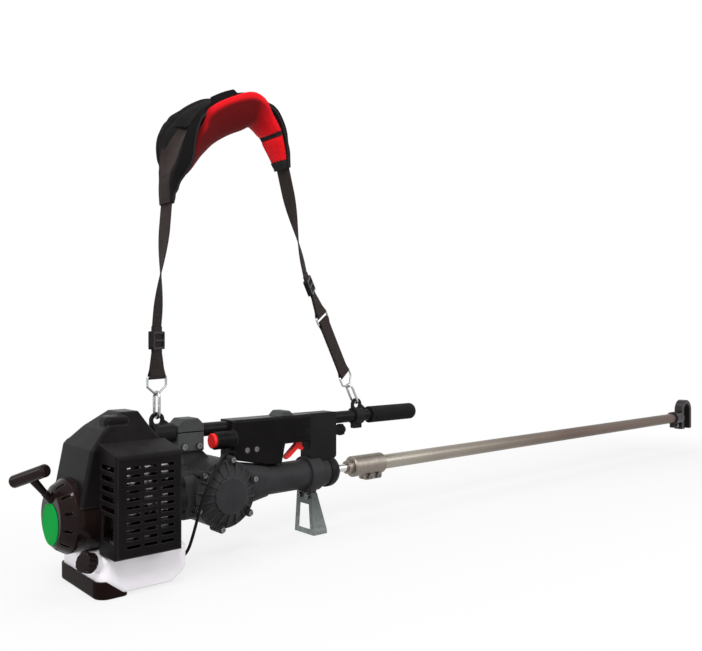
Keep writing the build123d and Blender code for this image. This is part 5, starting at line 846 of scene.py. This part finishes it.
class ShakerFinishes(bpy.types.Operator):
    """Finishes of all rigid parts, and the cloths of the harness"""

    bl_idname = "shaker.finishes"
    bl_label = "Finishes"

    PARTS = {
        "moulded_black": "engine_cover air_filter_cover handle_shell_near handle_shell_far strap_slides "
                         "plug_cap throttle_lever choke_lever",
        "guard_black": "muffler_guard",
        "brown_gloss": "starter_cover fuel_cap starter_handle fan_housing",
        "brown_matt": "tank_stand",
        "cast_black": "clutch_housing nose_cap strap_eyelets front_bracket",
        "hook_cast": "branch_hook",
        "cast_charcoal": "gear_case gear_case_cover stand_clamp",
        "cast_grey": "tube_clamps",
        "powder_black": "frame_tube",
        "tank_white": "fuel_tank",
        "signal_red": "throttle_trigger stop_button",
        "rubber_black": "vibration_damper hook_pads front_grip",
        "sheath_black": "throttle_cable",
        "nylon_grey": "starter_pulley",
        "ceramic_white": "spark_plug",
        "stand_zinc": "front_stand",
        "wire_zinc": "snap_hooks strap_rings",
        "plated_screws": "m5_screws m6_bolts pole_bolts",
        "pole_drawn": "pole",
        "sleeve_cast": "pole_connector",
        "ground_steel": "slider_rod crankshaft crank_gear clutch_drum clutch_shoes bearings "
                        "connecting_rod yoke",
        "bare_alloy": "crankcase cylinder piston flywheel carburettor",
        "muffler_plate": "muffler",
        "turned_bronze": "guide_bushes",
        "pad_cloth": "shoulder_pad",
        "lining_mesh": "pad_lining",
        "strap_cloth": "webbing",
        "rope_cloth": "starter_rope",
    }

    def execute(self, context):
        for build in EFFECTS:
            build()
        colours = context.scene.shaker_colours
        self.plastics(colours)
        self.castings(colours)
        self.metals(colours)
        self.cloths(colours)
        for finish, names in self.PARTS.items():
            for name in names.split():
                self.dress(NODES[name], bpy.data.materials[finish])
        return {"FINISHED"}

    def plastics(self, c):
        black, brown = c.moulded_black, c.brown_black
        # high lift on the black covers and the guard: painted highlight lines along their edges
        coated("moulded_black", black, 0.28, grain=0.06, scale=1100, edge=0.0040, lift=7.0, gloss=0.03)
        coated("guard_black", black, 0.46, grain=0.16, scale=1300, edge=0.0014, lift=5.0, gloss=0.03)
        coated("brown_gloss", brown, 0.11, grain=0.02, dust=0.02, rub=0.06, gloss=0.08)
        coated("brown_matt", brown, 0.30, grain=0.10, dust=0.03, rub=0.10, gloss=0.015)
        coated("tank_white", c.tank_white, 0.38, grain=0.05, dust=0.03, rub=0.0, lift=1.05, shade=0.05,
               edge=0.003, gloss=0.3, Subsurface_Weight=0.12, Subsurface_Radius=(0.012, 0.011, 0.013))
        coated("signal_red", c.signal_red, 0.34, grain=0.05, lift=1.15, dust=0.02, rub=0.08, shade=0.10,
               gloss=0.15)
        coated("badge_green", c.badge_green, 0.45, grain=0.03, lift=1.15, dust=0.01, rub=0.06, shade=0.06,
               gloss=0.01)
        coated("rubber_black", (0.0075, 0.0075, 0.0080), 0.66, grain=0.25, scale=1700, edge=0.0006)
        coated("sheath_black", (0.0070, 0.0070, 0.0075), 0.42, grain=0.10, scale=1800, edge=0.0003, dust=0.03)
        coated("nylon_grey", (0.22, 0.22, 0.21), 0.5, lift=1.2)
        coated("ceramic_white", (0.72, 0.71, 0.68), 0.25, grain=0.02, lift=1.1, rub=0.0, shade=0.05)

    def castings(self, c):
        cast = {"scale": 650, "edge": 0.0015}
        coated("cast_black", c.cast_black, 0.40, grain=0.22, **cast)
        coated("cast_charcoal", c.charcoal, 0.46, grain=0.26, **cast)
        coated("hook_cast", c.hook_brown, 0.42, grain=0.26, gloss=0.08, **cast)
        coated("cast_grey", c.cast_grey, 0.50, grain=0.30, gloss=0.08, **cast)
        coated("powder_black", c.moulded_black, 0.30, grain=0.12, scale=1500, edge=0.0005)

    def metals(self, c):
        bare_metal("stand_zinc", c.zinc, 0.34, (40.0, 40.0, 40.0), 0.05, spangle=0.55)
        bare_metal("wire_zinc", (0.42, 0.44, 0.43), 0.26, (300.0, 300.0, 60.0), 0.06)
        bare_metal("plated_screws", (0.17, 0.17, 0.165), 0.24, (200.0, 200.0, 200.0), 0.08, edge=0.0004)
        bare_metal("pole_drawn", c.pole_beige, 0.40, (2.0, 700.0, 700.0), 0.10, far_shade=c.pole_far_shade)
        bare_metal("sleeve_cast", (0.235, 0.205, 0.178), 0.44, (220.0, 60.0, 60.0), 0.16, edge=0.0015)
        bare_metal("ground_steel", (0.58, 0.57, 0.55), 0.18, (900.0, 20.0, 20.0), 0.05)
        bare_metal("bare_alloy", (0.42, 0.42, 0.42), 0.46, (160.0, 160.0, 160.0), 0.25)
        # near-black patches: painted shade inside the guard
        bare_metal("muffler_plate", (0.62, 0.61, 0.59), 0.24, (30.0, 30.0, 400.0), 0.10,
                   shade_patches=(0.020, 0.018, 0.017))
        bare_metal("turned_bronze", (0.60, 0.42, 0.18), 0.30, (900.0, 30.0, 30.0), 0.08)

    def cloths(self, c):
        woven("pad_cloth", c.pad_black, 620, 620, 0.6, Sheen_Weight=0.02, Sheen_Roughness=0.5)
        woven("strap_cloth", c.web_black, 420, 640, 0.7, Sheen_Weight=0.04, Sheen_Roughness=0.45)
        woven("binding_cloth", (0.017, 0.016, 0.016), 900, 900, 0.5)
        woven("rope_cloth", (0.020, 0.018, 0.017), 900, 900, 0.4)
        woven("thread_black", (0.035, 0.031, 0.030), 2400, 2400, 0.2)
        mesh_cloth("lining_mesh", c.pad_red, 400, Sheen_Weight=0.05, Sheen_Roughness=0.5)

    def dress(self, part, material):
        if not part.material_slots:
            part.data.materials.append(material)
        for place in part.material_slots:
            place.material = material


class ShakerCable(bpy.types.Operator):
    """Throttle cable from the handle to the carburettor, with a boot and a ferrule at its ends"""

    bl_idname = "shaker.cable"
    bl_label = "Throttle cable"

    def execute(self, context):
        size = context.scene.shaker_sizes.cable
        cable = cord_curve("throttle_cable_line", CABLE_ROUTE)
        line = line_points(cable)
        cable.data.bevel_depth = size / 2
        cable.data.bevel_resolution = 4
        cable.data.use_fill_caps = True
        cable.data.materials.append(bpy.data.materials["sheath_black"])
        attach(cable, "machine")
        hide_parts("throttle_cable")
        boot = self.fitting("cable_boot", line, BOOT, size / 2, "rubber_black", "cable_sheath")
        ferrule = self.fitting("cable_ferrule", line[::-1], FERRULE, size / 2, "plated_screws", "fasteners")
        return {"FINISHED"}

    def fitting(self, name, line, shape, r, material, slot):
        """Sleeve turned about the cable, closed by a wall that runs back to its start along the cable."""
        profile = [(distance, r * share) for distance, share in shape]
        profile += [(distance, r) for distance in np.linspace(shape[-1][0], shape[0][0], 10)[1:]]
        return shaped(name, sleeve(line, profile, 28), material, "machine", slot, capped=False, sharp=35)


class ShakerStarter(bpy.types.Operator):
    """Starter's twisted rope, out of the starter towards its handle, and the plain round badge"""

    bl_idname = "shaker.starter"
    bl_label = "Starter rope and badge"

    def execute(self, context):
        sizes = context.scene.shaker_sizes
        self.rope(sizes.rope)
        half = sizes.badge / 2
        dome = [(height, half * share - back) for height, share, back in BADGE_DOME]
        line = straight(BADGE_AT + X_AXIS * BADGE_SINK, -X_AXIS, 0.01)
        shaped("round_badge", sleeve(line, dome, 96), "badge_green", "machine", "black_plastic")
        return {"FINISHED"}

    def rope(self, size, sides=24):
        """Rope laid from strands: its radius dips between them, and the dips wind round it."""
        route = ROPE_EXIT + PULL * ROPE_ROUTE[:, None]
        curve = cord_curve("starter_rope_route", route)
        line = line_points(curve)
        bpy.data.curves.remove(curve.data)
        along = np.concatenate([np.linspace(0.0, ROPE_STRETCH, 70), np.linspace(ROPE_REST, ROPE_SHOWN, 40)])
        twist = around(sides)[None] - along[:, None] * 2 * math.pi / ROPE_TWIST
        relief = -size / 2 * ROPE_DIP * (1 - np.abs(np.cos(ROPE_STRANDS / 2 * twist)))
        profile = np.stack([along, np.full(len(along), size / 2)], axis=1)
        grid = sleeve(line, profile, sides, relief)
        rope = shaped("starter_rope_line", grid, "rope_cloth", None, "rope", "starter_rope")
        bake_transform(rope)


class ShakerGrip(bpy.types.Operator):
    """Front grip: a rubber sleeve with a plain collar, a groove and a fine diamond knurl"""

    bl_idname = "shaker.grip"
    bl_label = "Front grip"

    def execute(self, context):
        low, high = (np.array(corner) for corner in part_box("front_grip"))
        length = high[0] - low[0]
        radius = (high[2] - low[2]) / 2
        bend = radius * GRIP_ROUND
        flat = length - bend
        body = np.linspace(0.0, flat, 250)
        turn = np.linspace(0, math.pi / 2, 16)[1:]
        along = np.concatenate([[0.0], body, flat + bend * np.sin(turn), [length]])
        rounds = np.concatenate([[radius - GRIP_WALL], np.full(len(body), radius),
                                 radius - bend + bend * np.cos(turn), [GRIP_TIP]])
        line = straight(np.array((low[0], 0.0, (high[2] + low[2]) / 2)), X_AXIS, length)
        profile = np.stack([along, rounds], 1)
        grid = sleeve(line, profile, GRIP_SIDES, self.relief(along, flat, around(GRIP_SIDES)))
        shaped("knurled_grip", grid, "rubber_black", "machine", "rubber", "front_grip", sharp=60)
        return {"FINISHED"}

    def relief(self, along, flat, angle):
        """Groove behind the collar, and a knurl where two families of slanted sines cross."""
        groove = np.exp(-((along - GROOVE_AT) / GROOVE_HALF) ** 4)
        zone = window(along, KNURL_START, (flat + KNURL_END[0], flat + KNURL_END[1]))
        slants = [angle[None] * KNURL_TURNS + side * along[:, None] * KNURL_SLANT for side in (1, -1)]
        knurl = np.maximum(*(np.abs(np.sin(slant / 2)) for slant in slants))
        return -GROOVE_DEEP * groove[:, None] - KNURL_DEEP * zone[:, None] * (1 - knurl)


class ShakerPad(bpy.types.Operator):
    """Shoulder pad: black quilted outside, red mesh cushion, bound edges, bands, strap and stitching"""

    bl_idname = "shaker.pad"
    bl_label = "Shoulder pad"

    def execute(self, context):
        sizes = context.scene.shaker_sizes
        form = PadForm()
        shell = shaped("pad_outside", form.shell_grid(), "pad_cloth", "harness", "pad_fabric", "shoulder_pad",
                       sharp=60)
        cushion = shaped("pad_cushion", form.cushion_grid(), "lining_mesh", "harness", "lining_fabric",
                         "pad_lining", sharp=60)
        self.binding(form, sizes.binding)
        self.bands(form)
        self.top_strap(form, sizes)
        return {"FINISHED"}

    def binding(self, form, radius):
        """Bound edges: a round cord of cloth along the hem of each side of the pad."""
        share = np.linspace(0.0, 1.0, 200)
        out_x, out_z = form.at(share, "out_x", "out_z")
        outward = np.stack([out_x, np.zeros_like(out_x), out_z], axis=1)
        turn = around(14)
        section = np.stack([np.cos(turn), np.sin(turn)], axis=1) * radius
        for side, name in ((-1, "near"), (1, "far")):
            y = side * (form.shell_half(share) - BINDING_IN)
            path = form.place(share, y, form.hem(share) + BINDING_UP)
            grid = carried(path, np.broadcast_to(Y_AXIS, path.shape), outward, section)
            shaped(f"pad_binding_{name}", grid, "binding_cloth", "harness", "web_fabric")

    def bands(self, form):
        """Bands sewn across the lining: strips over the cushion's belly, from one edge to the other."""
        angle = np.linspace(math.pi * BAND_TURN[0], math.pi * BAND_TURN[1], 81)[:, None]
        t = np.linspace(-1, 1, 8)
        grow = np.repeat((BAND_OUT, BAND_IN), len(t))[None]
        for name, middle, reach in BANDS:
            share = np.clip(middle + np.concatenate([t, -t])[None] * reach / form.length, 0.0, 1.0)
            grid = form.cushion(*np.broadcast_arrays(share, angle, grow))
            shaped(f"pad_band_{name}", grid, "binding_cloth", "harness", "web_fabric")

    def top_strap(self, form, sizes):
        """Strap sewn up the rear arm: its section rides on the black pad, a strap's thickness high."""
        share = np.linspace(0.0, PANEL_END, 140)[:, None]
        section = band_profile(sizes.web_width, sizes.web_thick)
        wide = form.flare(share)
        y = section[None, :, 0] * wide
        share = np.broadcast_to(share, y.shape)
        grid = form.place(share, y, form.top(share, y * PANEL_FOLLOW) + section[None, :, 1] + PANEL_RISE)
        top = shaped("pad_top_strap", grid, "strap_cloth", "harness", "web_fabric")
        stitch = sizes.stitch
        seam = stitched("pad_stitches", self.seams(form, sizes), stitch * PAD_PITCH, stitch, PAD_THREAD)

    def seams(self, form, sizes):
        """Lines of stitches: along the edges of strap and pad, then across the strap and the crest's band."""
        def on_strap(share, y):
            out = form.top(share, y * PANEL_FOLLOW) + sizes.web_thick / 2 + PANEL_THREAD
            return form.place(share, y, out)

        def on_pad(share, y):
            return form.place(share, y, form.top(share, y) + THREAD_LIFT)

        half = sizes.web_width / 2
        run = np.linspace(0.01, 0.99, 400)
        lines = []
        on_edge = (run > EDGE_RUN[0]) & (run < EDGE_RUN[1])
        for side in (-1, 1):
            lines.append(on_strap(run, side * (half * form.flare(run) - PANEL_INSET))[run < PANEL_SEAMS[-1]])
            lines.append(on_pad(run, side * (form.shell_half(run) - EDGE_INSET))[on_edge])
        for middle in PANEL_SEAMS:
            lines.append(on_strap(np.full(40, middle), np.linspace(-1, 1, 40) * (half - PANEL_INSET)))
        for middle in CREST_SEAMS:
            lines.append(on_pad(np.full(40, middle), np.linspace(*CREST_RUN, 40) * form.shell_half(middle)))
        return lines


class ShakerStraps(bpy.types.Operator):
    """Straps: folded round their rings, doubled through the slides and turned a quarter up to the pad"""

    bl_idname = "shaker.straps"
    bl_label = "Straps"

    def execute(self, context):
        sizes = context.scene.shaker_sizes
        rear = (REAR_EYE, 0.0, RING_BAR, REAR_TURN)
        lower = (FRONT_EYE, FRONT_LEAN, RING_BAR, math.inf)
        upper = (FRONT_EYE, FRONT_LEAN, LINK_HIGH, FRONT_TURN)
        form = PadForm()
        self.fold("strap_rear_fold", rear, REAR_DOUBLE, sizes)
        self.run("strap_rear_run", rear, REAR_DOUBLE, form, 0.0, sizes)
        self.loop("strap_front_lower", lower, LINK_LOW, sizes)
        self.fold("strap_front_fold", upper, FRONT_DOUBLE, sizes)
        self.run("strap_front_run", upper, FRONT_DOUBLE, form, 1.0, sizes)
        return {"FINISHED"}

    def local(self, base, u, v, across=0.0):
        """Model points of a strap that leans back from its eyelet and turns about its length from the bar to
        the turn's end: along it, out of its face and across it."""
        eye, lean, bar, end = base
        u, v, across = (part[..., None] for part in np.broadcast_arrays(u, v, across))
        yaw = RING_YAW + (SLIDE_YAW - RING_YAW) * np.clip((u - bar) / (end - bar), 0.0, 1.0)
        c, s = np.cos(yaw), np.sin(yaw)
        up = np.array((-math.sin(lean), 0.0, math.cos(lean)))
        flat = np.array((math.cos(lean), 0.0, math.sin(lean)))
        return eye + u * up + v * (c * Y_AXIS - s * flat) + across * (c * flat + s * Y_AXIS)

    def strap(self, name, line, across, sizes):
        """Webbing's section carried along a line, with its width across it; returns its flat size too."""
        outward = np.cross(unit(np.gradient(line, axis=0)), across)
        grid = carried(line, across, outward, band_profile(sizes.web_width, sizes.web_thick))
        made = shaped(name, grid, "strap_cloth", "harness", "web_fabric", "webbing")
        return made, (sizes.web_width, line_length(line))

    def doubled(self, name, base, path, sizes):
        """Strap along a path in the plane along and out of it, with a patch sewn through both layers."""
        line = self.local(base, path[:, 0], path[:, 1])
        across = self.local(base, path[:, 0], path[:, 1], 1.0) - line
        made, flat = self.strap(name, line, across, sizes)
        half = sizes.web_width / 2 - SEWN_INSET
        low, high = base[2] + SEWN_FROM, base[2] + SEWN_TO
        lines = []
        for face in (-1, 1):
            out = face * (sizes.web_thick + THREAD_LIFT)
            lines += [self.local(base, u, out, np.linspace(-half, half, 40)) for u in (low, high)]
            lines += [self.local(base, np.linspace(low, high, 30), out, w) for w in (-half, half)]
        seam = stitched(f"{name}_stitches", lines, STRAP_PITCH, sizes.stitch, STRAP_THREAD)

    def side(self, u, sizes, *bars):
        """Points of one layer: half a layer from the strap's middle, opening to the loop's radius at bars."""
        return np.stack([u, sizes.web_thick / 2 + LAYER_GAP + BAR_LOOP * bells(u, bars, BAR_REACH)], axis=1)

    def round_bar(self, bar, sizes, aim):
        """Half turn round a bar, below it with aim -1 and above it with aim 1."""
        turn = np.linspace(0, math.pi, 24)[1:-1]
        reach = BAR_LOOP + (sizes.web_thick / 2 + LAYER_GAP)
        return np.stack([bar + aim * reach * np.sin(turn), -aim * reach * np.cos(turn)], axis=1)

    def fold(self, name, base, top, sizes):
        """Strap from its cut end down, half round the bar and up again on the other side."""
        right = self.side(np.linspace(base[2], top, 70), sizes, base[2])
        path = np.concatenate([right[::-1], self.round_bar(base[2], sizes, -1), right * (1, -1)])
        self.doubled(name, base, path, sizes)

    def loop(self, name, base, high, sizes):
        """Strap folded round a bar at each end, with its cut ends lapped and sewn in the middle."""
        right = self.side(np.linspace(base[2], high, 90), sizes, base[2], high)
        below, above = self.round_bar(base[2], sizes, -1), self.round_bar(high, sizes, 1)
        ring = np.concatenate([right[::-1], below, right * (1, -1), above])
        self.doubled(name, base, np.roll(ring, -40, axis=0), sizes)

    def run(self, name, base, start, form, share, sizes):
        """Single layer from the doubled part to the pad: it leans over evenly and turns square to the pad."""
        x, z, black, out_x, out_z = form.at(share, "x", "z", "black", "out_x", "out_z")
        first, begin = self.local(base, np.array((start - RUN_LAP, start)), 0.0)
        last = np.array((x + out_x * black * RUN_SINK, 0.0, z + out_z * black * RUN_SINK))
        lap = np.linspace(0, 1, 8)[:-1, None]
        t = np.linspace(0, 1, 160)[:, None]
        line = np.concatenate([first + (begin - first) * lap, begin + (last - begin) * t])
        t = np.concatenate([lap * 0, t])
        turn = SLIDE_YAW + (math.pi / 2 - SLIDE_YAW) * smooth_step(t, *RUN_TURN)
        flat = unit(np.cross(Y_AXIS, unit(np.gradient(line, axis=0))))
        made, size = self.strap(name, line, np.cos(turn) * flat + np.sin(turn) * Y_AXIS, sizes)


OPERATORS = (ShakerStage, ShakerFinishes, ShakerCable, ShakerStarter, ShakerGrip, ShakerPad, ShakerStraps)


class ShakerPanel(bpy.types.Panel):
    """Lists the shaker's pieces, sizes and colours in the sidebar"""

    bl_idname = "VIEW3D_PT_shaker"
    bl_label = "Branch shaker"
    bl_space_type = "VIEW_3D"
    bl_region_type = "UI"
    bl_category = "Shaker"

    def draw(self, context):
        for operator in OPERATORS:
            self.layout.operator(operator.bl_idname)
        for group in (context.scene.shaker_sizes, context.scene.shaker_colours):
            for key in group.__annotations__:
                self.layout.prop(group, key)


CLASSES = (ShakerSizes, ShakerColours) + OPERATORS + (ShakerPanel,)


def register():
    for each in CLASSES:
        bpy.utils.register_class(each)
    bpy.types.Scene.shaker_sizes = bpy.props.PointerProperty(type=ShakerSizes)
    bpy.types.Scene.shaker_colours = bpy.props.PointerProperty(type=ShakerColours)


def unregister():
    del bpy.types.Scene.shaker_sizes
    del bpy.types.Scene.shaker_colours
    for each in reversed(CLASSES):
        bpy.utils.unregister_class(each)


def main():
    register()
    bpy.ops.shaker.stage()
    bpy.ops.shaker.finishes()
    bpy.ops.shaker.cable()
    bpy.ops.shaker.starter()
    bpy.ops.shaker.grip()
    bpy.ops.shaker.pad()
    bpy.ops.shaker.straps()


if __name__ == "__main__":
    main()
